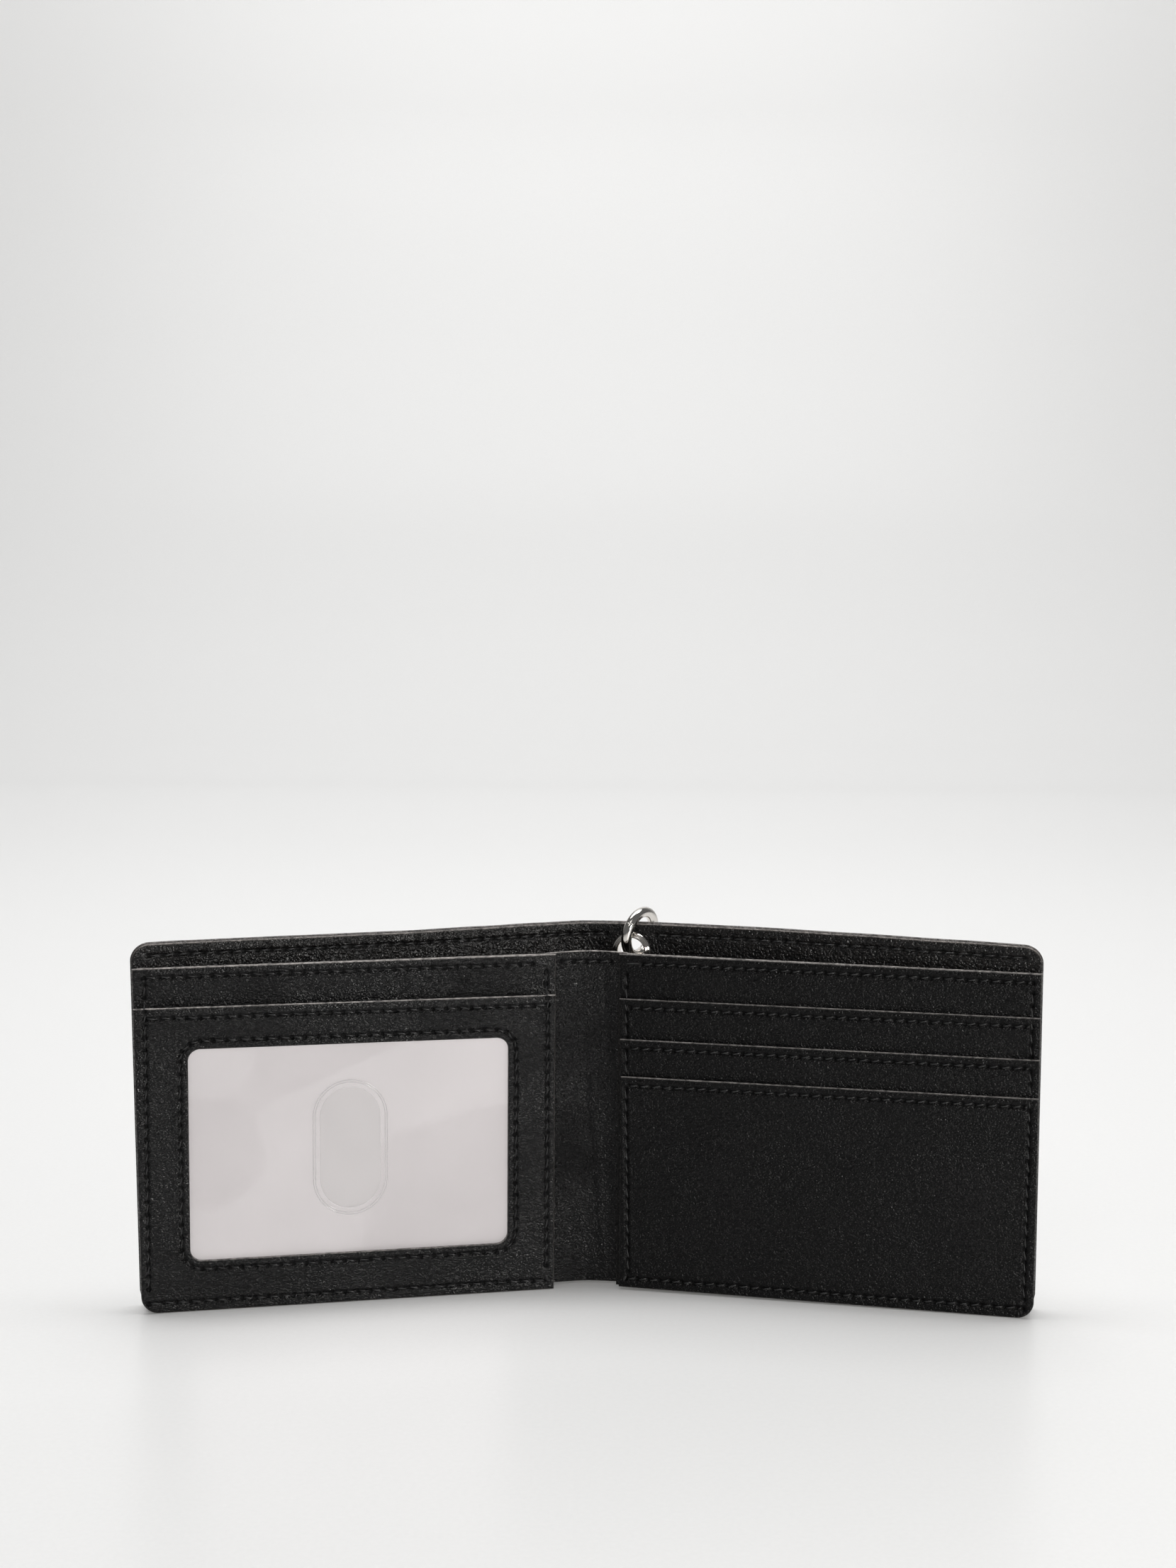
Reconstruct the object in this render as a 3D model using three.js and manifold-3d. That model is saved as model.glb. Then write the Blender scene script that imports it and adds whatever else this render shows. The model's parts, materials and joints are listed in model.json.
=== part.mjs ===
// Bifold wallet standing open on its bottom edges, inside facing -Y.
// Millimetres, +Z up, X along the open width. Two halves of flat pocket
// layers meet at a spine; a one-piece outer shell wraps behind them and
// leaves a banknote compartment. A metal eyelet near the spine carries a
// jump ring that hooks over the shell's top edge.
import * as THREE from 'three';
import { mergeVertices } from 'three/addons/utils/BufferGeometryUtils.js';
import Module from 'manifold-3d';

const wasm = await Module();
wasm.setup();

// ---------- driving dimensions ----------
const PHI_L = 11.53 * Math.PI / 180; // left half turned towards the user
const PHI_R = 10.68 * Math.PI / 180; // right half turned towards the user
const ORIGIN_X = 0.0372;              // centre of the assembly's bounding box
const ORIGIN_Y = -2.4145;

const LEATHER = 0.8;                 // pocket leather
const FRAME_T = 0.9;                 // ID window frame leather
const STEP = 1.0;                    // pitch of the card pocket layers
const INNER_TOP = 81.6;              // top of the pocket stacks at the spine
const INNER_TOP_OUT = 81.1;          // the same at the outer edges
const STACK_L = 4.0;                 // back face of the left stack
const STACK_R = 4.8;                 // back face of the right stack
const POCKET_S = 7.93;               // spine-side edge of the front layers
const SEAM_S = 9.84;                 // spine-side vertical seams
const SEAM_OUT = 103.7;              // outer perimeter seams
const SEAM_BOTTOM = 2.4;
const WIN_S = [19.3, 94.06];         // ID window opening
const WIN_Z = [12.0, 62.3];
const WIN_R = 2.8;
const MOUTH_Z = 72.2;                // mouth of the ID pocket
const SLOT_Z = [52.47, 61.32, 70.96];// front, middle and rear card slots
const THUMB = { s: 56.7, z: 37.1, w: 14, h: 29 };
const SHELL_T = 1.3;                 // outer shell leather with board
const FACING_T = 0.9;
const LINING_T = 0.3;
const CORNER_R = 4.2;
const SPINE_XL = -12.0;              // flexible zone of the shell
const SPINE_XR = 4.9;
const RIDGE_Y = 10.6;                // inner face of the shell at the spine
const EYE = { x: 10.35, z: 80.9, bore: 3.25, flange: 4.85 };
const RING = { x: 12.4, y: 10.85, z: 84.95, yaw: 37.4, lean: 9.35, R: 5.38, r: 1.29 };
const THREAD_W = 0.5, THREAD_T = 0.35, THREAD_GAP = 0.07;

// ---------- solids ----------
function toSolid(geo) {
  const g = geo.clone();
  g.deleteAttribute('normal'); g.deleteAttribute('uv');
  const m = mergeVertices(g.index ? g : g, 1e-5);
  return new wasm.Manifold(new wasm.Mesh({
    numProp: 3,
    vertProperties: new Float32Array(m.attributes.position.array),
    triVerts: new Uint32Array(m.index.array),
  }));
}
function toGeometry(solid) {
  const me = solid.getMesh();
  const g = new THREE.BufferGeometry();
  const n = me.vertProperties.length / me.numProp;
  const pos = new Float32Array(n * 3);
  for (let i = 0; i < n; i++) for (let k = 0; k < 3; k++) pos[3 * i + k] = me.vertProperties[me.numProp * i + k];
  g.setAttribute('position', new THREE.BufferAttribute(pos, 3));
  g.setIndex(new THREE.BufferAttribute(new Uint32Array(me.triVerts), 1));
  g.computeVertexNormals();
  return g;
}
// flat plate in the XZ plane, from y = y0 (front) to y = y1 (back)
function plateGeometry(shape, y0, y1, seg = 6) {
  const g = new THREE.ExtrudeGeometry(shape, { depth: y1 - y0, bevelEnabled: false, curveSegments: seg });
  g.rotateX(Math.PI / 2);
  g.translate(0, y1, 0);
  return g;
}
function polygon(points) {
  const pts = THREE.ShapeUtils.area(points.map(p => ({ x: p[0], y: p[1] }))) < 0 ? points.slice().reverse() : points;
  const s = new THREE.Shape();
  s.moveTo(pts[0][0], pts[0][1]);
  for (let i = 1; i < pts.length; i++) s.lineTo(pts[i][0], pts[i][1]);
  s.closePath();
  return s;
}
// corner list [x, z, radius] -> outline points
function roundedOutline(corners, seg = 5) {
  const out = [];
  const n = corners.length;
  for (let i = 0; i < n; i++) {
    const [x, z, r] = corners[i];
    const a = new THREE.Vector2(corners[(i + n - 1) % n][0], corners[(i + n - 1) % n][1]);
    const b = new THREE.Vector2(corners[(i + 1) % n][0], corners[(i + 1) % n][1]);
    const p = new THREE.Vector2(x, z);
    if (!r) { out.push([x, z]); continue; }
    const u = a.sub(p).normalize(), v = b.sub(p).normalize();
    const half = Math.acos(u.dot(v)) / 2;
    const d = r / Math.tan(half);
    const c = u.clone().add(v).normalize().multiplyScalar(r / Math.sin(half)).add(p);
    const p0 = p.clone().addScaledVector(u, d), p1 = p.clone().addScaledVector(v, d);
    let a0 = Math.atan2(p0.y - c.y, p0.x - c.x), a1 = Math.atan2(p1.y - c.y, p1.x - c.x);
    while (a1 - a0 > Math.PI) a1 -= 2 * Math.PI;
    while (a1 - a0 < -Math.PI) a1 += 2 * Math.PI;
    for (let k = 0; k <= seg; k++) {
      const t = a0 + (a1 - a0) * k / seg;
      out.push([c.x + r * Math.cos(t), c.y + r * Math.sin(t)]);
    }
  }
  return out;
}
// closed sheet over a grid: f(x, v) -> [z, yFront, yBack]
function sheetGeometry(xs, vs, f) {
  const nx = xs.length, nv = vs.length, pos = [], idx = [];
  for (const side of [1, 2]) for (let j = 0; j < nv; j++) for (let i = 0; i < nx; i++) {
    const q = f(xs[i], vs[j]);
    pos.push(xs[i], q[side], q[0]);
  }
  const F = (i, j) => j * nx + i, B = (i, j) => nx * nv + j * nx + i;
  const quad = (a, b, c, d) => idx.push(a, b, c, a, c, d);
  for (let j = 0; j < nv - 1; j++) for (let i = 0; i < nx - 1; i++) {
    quad(F(i, j), F(i + 1, j), F(i + 1, j + 1), F(i, j + 1));
    quad(B(i, j), B(i, j + 1), B(i + 1, j + 1), B(i + 1, j));
  }
  for (let i = 0; i < nx - 1; i++) {
    quad(F(i, 0), B(i, 0), B(i + 1, 0), F(i + 1, 0));
    quad(F(i, nv - 1), F(i + 1, nv - 1), B(i + 1, nv - 1), B(i, nv - 1));
  }
  for (let j = 0; j < nv - 1; j++) {
    quad(F(0, j), F(0, j + 1), B(0, j + 1), B(0, j));
    quad(F(nx - 1, j), B(nx - 1, j), B(nx - 1, j + 1), F(nx - 1, j + 1));
  }
  const g = new THREE.BufferGeometry();
  g.setAttribute('position', new THREE.BufferAttribute(new Float32Array(pos), 3));
  g.setIndex(idx);
  g.computeVertexNormals();
  return g;
}
const range = (a, b, n) => Array.from({ length: n + 1 }, (_, i) => a + (b - a) * i / n);
const lerp = (a, b, t) => a + (b - a) * t;
const clamp01 = (t) => Math.min(1, Math.max(0, t));
const smooth = (t) => { t = clamp01(t); return t * t * (3 - 2 * t); };

// ---------- surface of the shell ----------
const I_L = STACK_L / Math.cos(PHI_L) + 0.3, I_R = STACK_R / Math.cos(PHI_R) + 0.3;
function shellBottomY(x) {           // hugs the stacks, loops back at the spine
  const w = smooth((x + 12) / 24);
  const y0 = lerp(I_L, I_R, w), k = lerp(Math.tan(PHI_L), Math.tan(PHI_R), w);
  return y0 - k * Math.sqrt(x * x + 16) + 6.6 * Math.exp(-((x / 8.5) ** 2));
}
function shellTopY(x) {              // straight from the ridge to the side seams
  const k = x < 0 ? 0.2845 : 0.259;
  return RIDGE_Y - k * (Math.sqrt(x * x + 64) - 8);
}
function shellY(x, z) {              // front face of the shell's inner facing
  return lerp(shellBottomY(x), shellTopY(x), Math.max(0, (z - 3) / 85));
}
const TOP_TABLE = [[-110, 86.4], [-94, 86.68], [-70, 86.76], [-45, 86.82], [-26, 87.17], [-12, 87.5],
  [0, 87.8], [10, 87.9], [20, 87.99], [40, 88.02], [63, 87.78], [85, 87.44], [110, 87.0]];
function shellTopZ(x) {
  let i = 0;
  while (i < TOP_TABLE.length - 2 && x > TOP_TABLE[i + 1][0]) i++;
  const [x0, z0] = TOP_TABLE[i], [x1, z1] = TOP_TABLE[i + 1];
  return lerp(z0, z1, smooth((x - x0) / (x1 - x0)));
}
function shellNormal(x, z) {         // unit vector out of the back
  const e = 0.05;
  return new THREE.Vector3(-(shellY(x + e, z) - shellY(x - e, z)) / (2 * e), 1,
    -(shellY(x, z + e) - shellY(x, z - e)) / (2 * e)).normalize();
}

// ---------- spine leather between the two stacks ----------
const SPINE_PTS = [[-14, 0.45], [-9.66, 1.34], [-7.51, 1.83], [0, 3.3], [7.14, 2.80], [9.79, 2.30], [14, 1.5]];
function spineY(x) {
  let i = 1;
  while (i < SPINE_PTS.length - 3 && x > SPINE_PTS[i + 1][0]) i++;
  const [p0, p1, p2, p3] = [SPINE_PTS[i - 1], SPINE_PTS[i], SPINE_PTS[i + 1], SPINE_PTS[i + 2]];
  const t = (x - p1[0]) / (p2[0] - p1[0]), h = p2[0] - p1[0];
  const m1 = (p2[1] - p0[1]) / (p2[0] - p0[0]) * h, m2 = (p3[1] - p1[1]) / (p3[0] - p1[0]) * h;
  return (2 * t ** 3 - 3 * t * t + 1) * p1[1] + (t ** 3 - 2 * t * t + t) * m1
    + (-2 * t ** 3 + 3 * t * t) * p2[1] + (t ** 3 - t * t) * m2;
}

// ---------- materials and assembly ----------
const LEATHER_BLACK = { color: 0x161517, roughness: 0.55, metalness: 0 };
const FABRIC_BLACK = { color: 0x101012, roughness: 0.9, metalness: 0 };
const THREAD_BLACK = { color: 0x0c0c0d, roughness: 0.7, metalness: 0 };
const NICKEL = { color: 0xb9b6b0, roughness: 0.14, metalness: 1 };
const PVC = { color: 0xf2eef0, roughness: 0.12, metalness: 0, transparent: true, opacity: 0.3 };
const PAPER = { color: 0xe4dee2, roughness: 0.85, metalness: 0 };

const wallet = new THREE.Group();
const body = new THREE.Group();
body.position.set(-ORIGIN_X, -ORIGIN_Y, 0);
wallet.add(body);
const left = new THREE.Group(); left.rotation.z = PHI_L; body.add(left);
const right = new THREE.Group(); right.rotation.z = -PHI_R; body.add(right);

function add(parent, name, geo, mat) {
  const m = new THREE.Mesh(geo, new THREE.MeshStandardMaterial(mat));
  m.name = name;
  parent.add(m);
  return m;
}

// outer edge of a stack (distance from the fold line) at height z
const outL = (z) => lerp(105.35, 106.5, z / 82);
const outR = (z) => lerp(106.1, 105.7, z / 82);

// layer outline in (s, z); sg = -1 for the left half, +1 for the right
function layer(sg, s0, out, z0, zs, zo, rBottom) {
  return roundedOutline([
    [sg * s0, z0, 0], [sg * out(z0), z0, rBottom], [sg * out(zo), zo, 0], [sg * s0, zs, 0],
  ]);
}

// ----- left half: ID window pocket -----
const frameShape = polygon(layer(-1, POCKET_S, outL, 0, MOUTH_Z, MOUTH_Z, 4.0));
const winHole = roundedOutline([
  [-WIN_S[0], WIN_Z[0], WIN_R], [-WIN_S[1], WIN_Z[0], WIN_R], [-WIN_S[1], WIN_Z[1], WIN_R], [-WIN_S[0], WIN_Z[1], WIN_R]], 4);
frameShape.holes.push(new THREE.Path(winHole.map(p => new THREE.Vector2(p[0], p[1]))));
add(left, 'window_frame', plateGeometry(frameShape, 0, FRAME_T), LEATHER_BLACK);

const pvcShape = polygon(roundedOutline([[-14, 7, 2], [-99.3, 7, 2], [-99.3, 67.6, 2], [-14, 67.6, 2]], 3));
const thumb = new THREE.Path();
thumb.absarc(-THUMB.s, THUMB.z + (THUMB.h - THUMB.w) / 2, THUMB.w / 2, 0, Math.PI, false);
thumb.absarc(-THUMB.s, THUMB.z - (THUMB.h - THUMB.w) / 2, THUMB.w / 2, Math.PI, 2 * Math.PI, false);
thumb.closePath();
pvcShape.holes.push(thumb);
add(left, 'clear_window', plateGeometry(pvcShape, 1.1, 1.4, 8), PVC);
add(left, 'insert_card', plateGeometry(polygon([[-12.6, 3.4], [-100.4, 3.4], [-100.4, 69.4], [-12.6, 69.4]]), 1.45, 1.7), PAPER);
add(left, 'left_pocket_back', plateGeometry(polygon(layer(-1, 7.5, outL, 0, INNER_TOP, INNER_TOP_OUT, 4.0)), 2.2, 2.2 + LEATHER), LEATHER_BLACK);
add(left, 'inner_panel_left', plateGeometry(polygon(layer(-1, 9.7, outL, 0, INNER_TOP, INNER_TOP_OUT, 4.0)), STACK_L - LEATHER, STACK_L), LEATHER_BLACK);

// ----- right half: card pockets -----
const n = [0, STEP, 2 * STEP, 3 * STEP];
add(right, 'card_pocket_front', plateGeometry(polygon(layer(1, POCKET_S, outR, 0, SLOT_Z[0], SLOT_Z[0], 4.0)), n[0], n[0] + LEATHER), LEATHER_BLACK);
add(right, 'card_pocket_middle', plateGeometry(polygon(layer(1, 7.5, outR, 46, SLOT_Z[1], SLOT_Z[1], 0)), n[1], n[1] + LEATHER), LEATHER_BLACK);
add(right, 'pocket_lining_middle', plateGeometry(polygon([[11, 14], [102.5, 14], [102.5, 45.7], [11, 45.7]]), n[1] + 0.25, n[1] + 0.55), FABRIC_BLACK);
add(right, 'card_pocket_rear', plateGeometry(polygon(layer(1, 7.1, outR, 56, SLOT_Z[2], SLOT_Z[2], 0)), n[2], n[2] + LEATHER), LEATHER_BLACK);
add(right, 'pocket_lining_rear', plateGeometry(polygon([[11, 24], [102.5, 24], [102.5, 55.7], [11, 55.7]]), n[2] + 0.25, n[2] + 0.55), FABRIC_BLACK);
add(right, 'right_pocket_back', plateGeometry(polygon(layer(1, 6.75, outR, 0, INNER_TOP, INNER_TOP_OUT, 4.0)), n[3], n[3] + LEATHER), LEATHER_BLACK);
add(right, 'inner_panel_right', plateGeometry(polygon(layer(1, 9.7, outR, 0, INNER_TOP, INNER_TOP_OUT, 4.0)), STACK_R - LEATHER, STACK_R), LEATHER_BLACK);

// ----- spine leather, clear of the floor and of the stacks -----
add(body, 'inner_panel_spine', sheetGeometry(range(-9.1, 9.5, 10), [0.3, 40, INNER_TOP + 0.15],
  (x, v) => [v + (v > 80 ? 0.3 * (1 - (x / 9.5) ** 2) : 0), spineY(x), spineY(x) + LEATHER]), LEATHER_BLACK);

// ----- shell, facing and lining -----
const outlineL = [[-104.76, 0], [-105.9, 86.5]], outlineR = [[105.95, 0], [105.45, 87.0]];
function shellPrism(sg, inset, zLow) {
  const o = sg < 0 ? outlineL : outlineR;
  const xi = sg < 0 ? SPINE_XL : SPINE_XR;
  const b = [o[0][0] - sg * inset, zLow, zLow < 1 ? CORNER_R : 0];
  const t = [o[1][0] - sg * inset, shellTopZ(o[1][0]) - inset * 0.4, CORNER_R];
  const pts = roundedOutline([[xi, zLow, 0], b, t, [xi, 100, 0]], 6);
  // follow the top curve between the corner and the spine
  const body0 = pts.slice(0, pts.length - 1);
  const end = body0[body0.length - 1];
  const tops = range(end[0] - sg * 2, xi, 14).map(x => [x, shellTopZ(x) - inset * 0.4]);
  return toSolid(plateGeometry(polygon(body0.concat(tops)), -40, 40));
}
// shared stations along X, closer together where the shell curves
const XR = [SPINE_XR, 7, 9.5, 12, 15, 19, 25, 34, 46, 60, 75, 90];
const XL = [SPINE_XL, -15, -19, -25, -34, -46, -60, -75, -90];
function shellSheet(xs, zs, y0, y1) {
  return toSolid(sheetGeometry(xs, zs,
    (x, z) => [z, shellY(x, z) + y0, shellY(x, z) + y1]));
}
const Y_FACE = [0, FACING_T], Y_LINE = [0.5, 0.5 + LINING_T], Y_SHELL = [FACING_T + 0.2, FACING_T + 0.2 + SHELL_T];
const FACING_LOW = 61;

// hole through facing and shell for the eyelet
const eyeAxis = shellNormal(EYE.x, EYE.z);
const eyePos = new THREE.Vector3(EYE.x, shellY(EYE.x, EYE.z), EYE.z);
function orient(geo) {               // lathe axis (+Y) onto the shell's normal
  geo.applyQuaternion(new THREE.Quaternion().setFromUnitVectors(new THREE.Vector3(0, 1, 0), eyeAxis));
  geo.translate(eyePos.x, eyePos.y, eyePos.z);
  return geo;
}
const eyeDrill = toSolid(orient(new THREE.CylinderGeometry(EYE.bore + 0.6, EYE.bore + 0.6, 16, 24)));

const shellL = shellSheet([...XL, -107.5].reverse(), [-1, 3, 32, 61, 90], ...Y_SHELL).intersect(shellPrism(-1, 0, 0));
const shellR = shellSheet([...XR, 107.5], [-1, 3, 32, 61, 90], ...Y_SHELL).intersect(shellPrism(1, 0, 0)).subtract(eyeDrill);
add(body, 'outer_shell_left', toGeometry(shellL), LEATHER_BLACK);
add(body, 'outer_shell_right', toGeometry(shellR), LEATHER_BLACK);
const faceL = shellSheet([...XL, -107.5].reverse(), [60, 90], ...Y_FACE).intersect(shellPrism(-1, 0.5, FACING_LOW));
const faceR = shellSheet([...XR, 107.5], [60, 90], ...Y_FACE).intersect(shellPrism(1, 0.5, FACING_LOW)).subtract(eyeDrill);
add(body, 'note_facing_left', toGeometry(faceL), LEATHER_BLACK);
add(body, 'note_facing_right', toGeometry(faceR), LEATHER_BLACK);
const lining = (xs) => sheetGeometry(xs, [1.5, 3, 32, FACING_LOW - 0.3],
  (x, z) => [z, shellY(x, z) + Y_LINE[0], shellY(x, z) + Y_LINE[1]]);
add(body, 'note_lining_left', lining([...XL, -103.5].reverse()), FABRIC_BLACK);
add(body, 'note_lining_right', lining([...XR, 103.5]), FABRIC_BLACK);

const SX = [SPINE_XL + 0.3, -9.5, -7.5, -5.5, -3.5, -1.5, 0.5, 2.5, SPINE_XR - 0.3];
const LOW = 0.3;
add(body, 'outer_shell_spine', sheetGeometry(SX, [0, 0.03, 0.35, 0.7, 1],
  (x, v) => { const z = lerp(LOW, shellTopZ(x), v); return [z, shellY(x, z) + Y_SHELL[0], shellY(x, z) + Y_SHELL[1]]; }), LEATHER_BLACK);
add(body, 'note_facing_spine', sheetGeometry(SX, range(0, 1, 2),
  (x, v) => { const z = lerp(FACING_LOW, shellTopZ(x) - 0.2, v); return [z, shellY(x, z) + Y_FACE[0], shellY(x, z) + Y_FACE[1]]; }), LEATHER_BLACK);
add(body, 'note_lining_spine', sheetGeometry(SX, [1.5, 3, 32, FACING_LOW - 0.3],
  (x, z) => [z, shellY(x, z) + Y_LINE[0], shellY(x, z) + Y_LINE[1]]), FABRIC_BLACK);

// ----- seam threads: one flat strand on the surface for each seam -----
function strand(sg, pts, y) {        // straight bars, unioned into one strand
  let solid = null;
  for (let i = 0; i < pts.length - 1; i++) {
    const [s0, z0] = pts[i], [s1, z1] = pts[i + 1];
    const L = Math.hypot(s1 - s0, z1 - z0), ux = (s1 - s0) / L, uz = (z1 - z0) / L, h = THREAD_W / 2;
    const e = i === 0 ? 0 : h, e2 = i === pts.length - 2 ? 0 : h;
    const a = [s0 - ux * e, z0 - uz * e], b = [s1 + ux * e2, z1 + uz * e2];
    const q = [[a[0] - uz * h, a[1] + ux * h], [b[0] - uz * h, b[1] + ux * h], [b[0] + uz * h, b[1] - ux * h], [a[0] + uz * h, a[1] - ux * h]];
    const piece = toSolid(plateGeometry(polygon(q.map(p => [sg * p[0], p[1]])), y - THREAD_GAP - THREAD_T, y - THREAD_GAP));
    solid = solid ? solid.add(piece) : piece;
  }
  return solid;
}
// vertical strand that steps back from layer to layer: levels [[zTop, y], ...] from the bottom up
function steppedStrand(sg, s, z0, levels) {
  const front = [], back = [];
  let z = z0;
  const T0 = THREAD_GAP + THREAD_T, T1 = THREAD_GAP;
  levels.forEach(([zt, y]) => {
    front.push([z + (z === z0 ? 0 : T0), y - T0], [zt + T0, y - T0]);
    back.push([z + (z === z0 ? 0 : T1), y - T1], [zt + T1, y - T1]);
    z = zt;
  });
  front[front.length - 1][0] = z; back[back.length - 1][0] = z;
  const pts = front.concat(back.reverse());   // (z, y)
  const shape = polygon(pts.map(p => [p[1], p[0]]));       // x <- y, y <- z
  const g = new THREE.ExtrudeGeometry(shape, { depth: THREAD_W, bevelEnabled: false });
  // (x, y, z) -> (Y, Z, X)
  const m = new THREE.Matrix4().makeBasis(new THREE.Vector3(0, 1, 0), new THREE.Vector3(0, 0, 1), new THREE.Vector3(1, 0, 0));
  g.applyMatrix4(m);
  g.translate(sg * s - THREAD_W / 2, 0, 0);
  return toSolid(g);
}
const TOP_SEAM = INNER_TOP - 2.2, TOP_SEAM_OUT = INNER_TOP_OUT - 2.15;
// left half
add(left, 'thread_left_perimeter', toGeometry(
  steppedStrand(-1, SEAM_S, SEAM_BOTTOM - 0.2, [[MOUTH_Z, 0], [TOP_SEAM - 0.6, 2.2]])
    .add(strand(-1, [[SEAM_S, SEAM_BOTTOM], [SEAM_OUT, SEAM_BOTTOM]], 0))
    .add(steppedStrand(-1, SEAM_OUT, SEAM_BOTTOM - 0.2, [[MOUTH_Z, 0], [TOP_SEAM_OUT - 0.6, 2.2]]))), THREAD_BLACK);
const w2 = 1.95;
const winSeam = polygon(roundedOutline([
  [-(WIN_S[0] - w2 - 0.25), WIN_Z[0] - w2 - 0.25, 3], [-(WIN_S[1] + w2 + 0.25), WIN_Z[0] - w2 - 0.25, 3],
  [-(WIN_S[1] + w2 + 0.25), WIN_Z[1] + w2 + 0.25, 3], [-(WIN_S[0] - w2 - 0.25), WIN_Z[1] + w2 + 0.25, 3]], 3));
winSeam.holes.push(new THREE.Path(roundedOutline([
  [-(WIN_S[0] - w2 + 0.25), WIN_Z[0] - w2 + 0.25, 2.5], [-(WIN_S[1] + w2 - 0.25), WIN_Z[0] - w2 + 0.25, 2.5],
  [-(WIN_S[1] + w2 - 0.25), WIN_Z[1] + w2 - 0.25, 2.5], [-(WIN_S[0] - w2 + 0.25), WIN_Z[1] + w2 - 0.25, 2.5]], 3)
  .map(p => new THREE.Vector2(p[0], p[1]))));
add(left, 'thread_window', plateGeometry(winSeam, -THREAD_GAP - THREAD_T, -THREAD_GAP), THREAD_BLACK);
add(left, 'thread_id_mouth', toGeometry(strand(-1, [[SEAM_S + 0.6, MOUTH_Z - 2.4], [SEAM_OUT - 0.6, MOUTH_Z - 2.4]], 0)), THREAD_BLACK);
add(left, 'thread_inner_top_left', toGeometry(strand(-1, [[8.0, TOP_SEAM], [SEAM_OUT, TOP_SEAM_OUT]], 2.2)), THREAD_BLACK);
// right half
add(right, 'thread_right_perimeter', toGeometry(
  steppedStrand(1, SEAM_S, SEAM_BOTTOM - 0.2, [[SLOT_Z[0], n[0]], [SLOT_Z[1], n[1]], [SLOT_Z[2], n[2]], [TOP_SEAM - 0.6, n[3]]])
    .add(strand(1, [[SEAM_S, SEAM_BOTTOM], [SEAM_OUT, SEAM_BOTTOM]], 0))
    .add(steppedStrand(1, SEAM_OUT, SEAM_BOTTOM - 0.2, [[SLOT_Z[0], n[0]], [SLOT_Z[1], n[1]], [SLOT_Z[2], n[2]], [TOP_SEAM_OUT - 0.6, n[3]]]))), THREAD_BLACK);
['front', 'middle', 'rear'].forEach((name, i) => add(right, 'thread_slot_' + name,
  toGeometry(strand(1, [[SEAM_S + 0.6, SLOT_Z[i] - 2.1], [SEAM_OUT - 0.6, SLOT_Z[i] - 2.1]], n[i])), THREAD_BLACK));
add(right, 'thread_inner_top_right', toGeometry(strand(1, [[7.4, TOP_SEAM], [SEAM_OUT, TOP_SEAM_OUT]], n[3])), THREAD_BLACK);
// spine and shell
const bar = (f, z0) => (x, v) => [z0(x) + v * THREAD_W, f(x, z0(x)) - THREAD_GAP - THREAD_T, f(x, z0(x)) - THREAD_GAP];
add(body, 'thread_inner_top_spine', sheetGeometry(range(-6.9, 6.2, 6), [0, 1], bar((x) => spineY(x), () => TOP_SEAM)), THREAD_BLACK);
const seamTop = (x) => shellTopZ(x) - 2.9;
add(body, 'thread_shell_top_left', sheetGeometry([...XL, -101.5].reverse(), [0, 1], bar(shellY, seamTop)), THREAD_BLACK);
add(body, 'thread_shell_top_spine', sheetGeometry(SX, [0, 1], bar(shellY, seamTop)), THREAD_BLACK);
add(body, 'thread_shell_top_right', sheetGeometry([16.2, 19, 25, 34, 46, 60, 75, 90, 101.5], [0, 1], bar(shellY, seamTop)), THREAD_BLACK);

// ----- eyelet, washer and jump ring -----
const total = Y_SHELL[1] * eyeAxis.y;   // leather thickness along the eyelet's axis
const rb = EYE.bore, rf = EYE.flange;
const lathe = (pts, seg) => { const p = pts.map(q => new THREE.Vector2(q[0], q[1])); p.push(p[0].clone()); return new THREE.LatheGeometry(p, seg); };
function closedLathe(pts, seg) {        // faces out whichever way the profile runs
  const g = lathe(pts, seg);
  g.deleteAttribute('normal'); g.deleteAttribute('uv');
  return mergeVertices(g, 1e-5);
}
add(body, 'eyelet', orient(closedLathe([
  [rb, -0.7], [rb + 0.25, -1.0], [rb + 0.65, -1.1], [rf - 0.5, -0.8], [rf, -0.3], [rf - 0.1, -0.12], [rb + 0.25, -0.12],
  [rb + 0.25, total + 0.75], [rb + 1.1, total + 0.75], [rb + 1.0, total + 1.1], [rb + 0.5, total + 1.25], [rb, total + 1.0]], 28)), NICKEL);
add(body, 'eyelet_washer', orient(closedLathe([
  [rb + 0.55, total + 0.12], [rf - 0.1, total + 0.12], [rf - 0.25, total + 0.35], [rb + 1.2, total + 0.5], [rb + 0.55, total + 0.5]], 28)), NICKEL);
const ring = add(body, 'jump_ring', new THREE.TorusGeometry(RING.R, RING.r, 12, 36), NICKEL);
{
  const yaw = RING.yaw * Math.PI / 180, lean = RING.lean * Math.PI / 180;
  const u = new THREE.Vector3(Math.sin(yaw), Math.cos(yaw), 0);
  const side = new THREE.Vector3(Math.cos(yaw), -Math.sin(yaw), 0);
  const v = new THREE.Vector3(0, 0, Math.cos(lean)).addScaledVector(side, Math.sin(lean));
  const m = new THREE.Matrix4().makeBasis(u, v, u.clone().cross(v));
  ring.quaternion.setFromRotationMatrix(m);
  ring.position.set(RING.x, RING.y, RING.z);
}

export default wallet;
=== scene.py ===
import json
import math

import bpy
import numpy as np
from mathutils import Matrix, Vector

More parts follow.
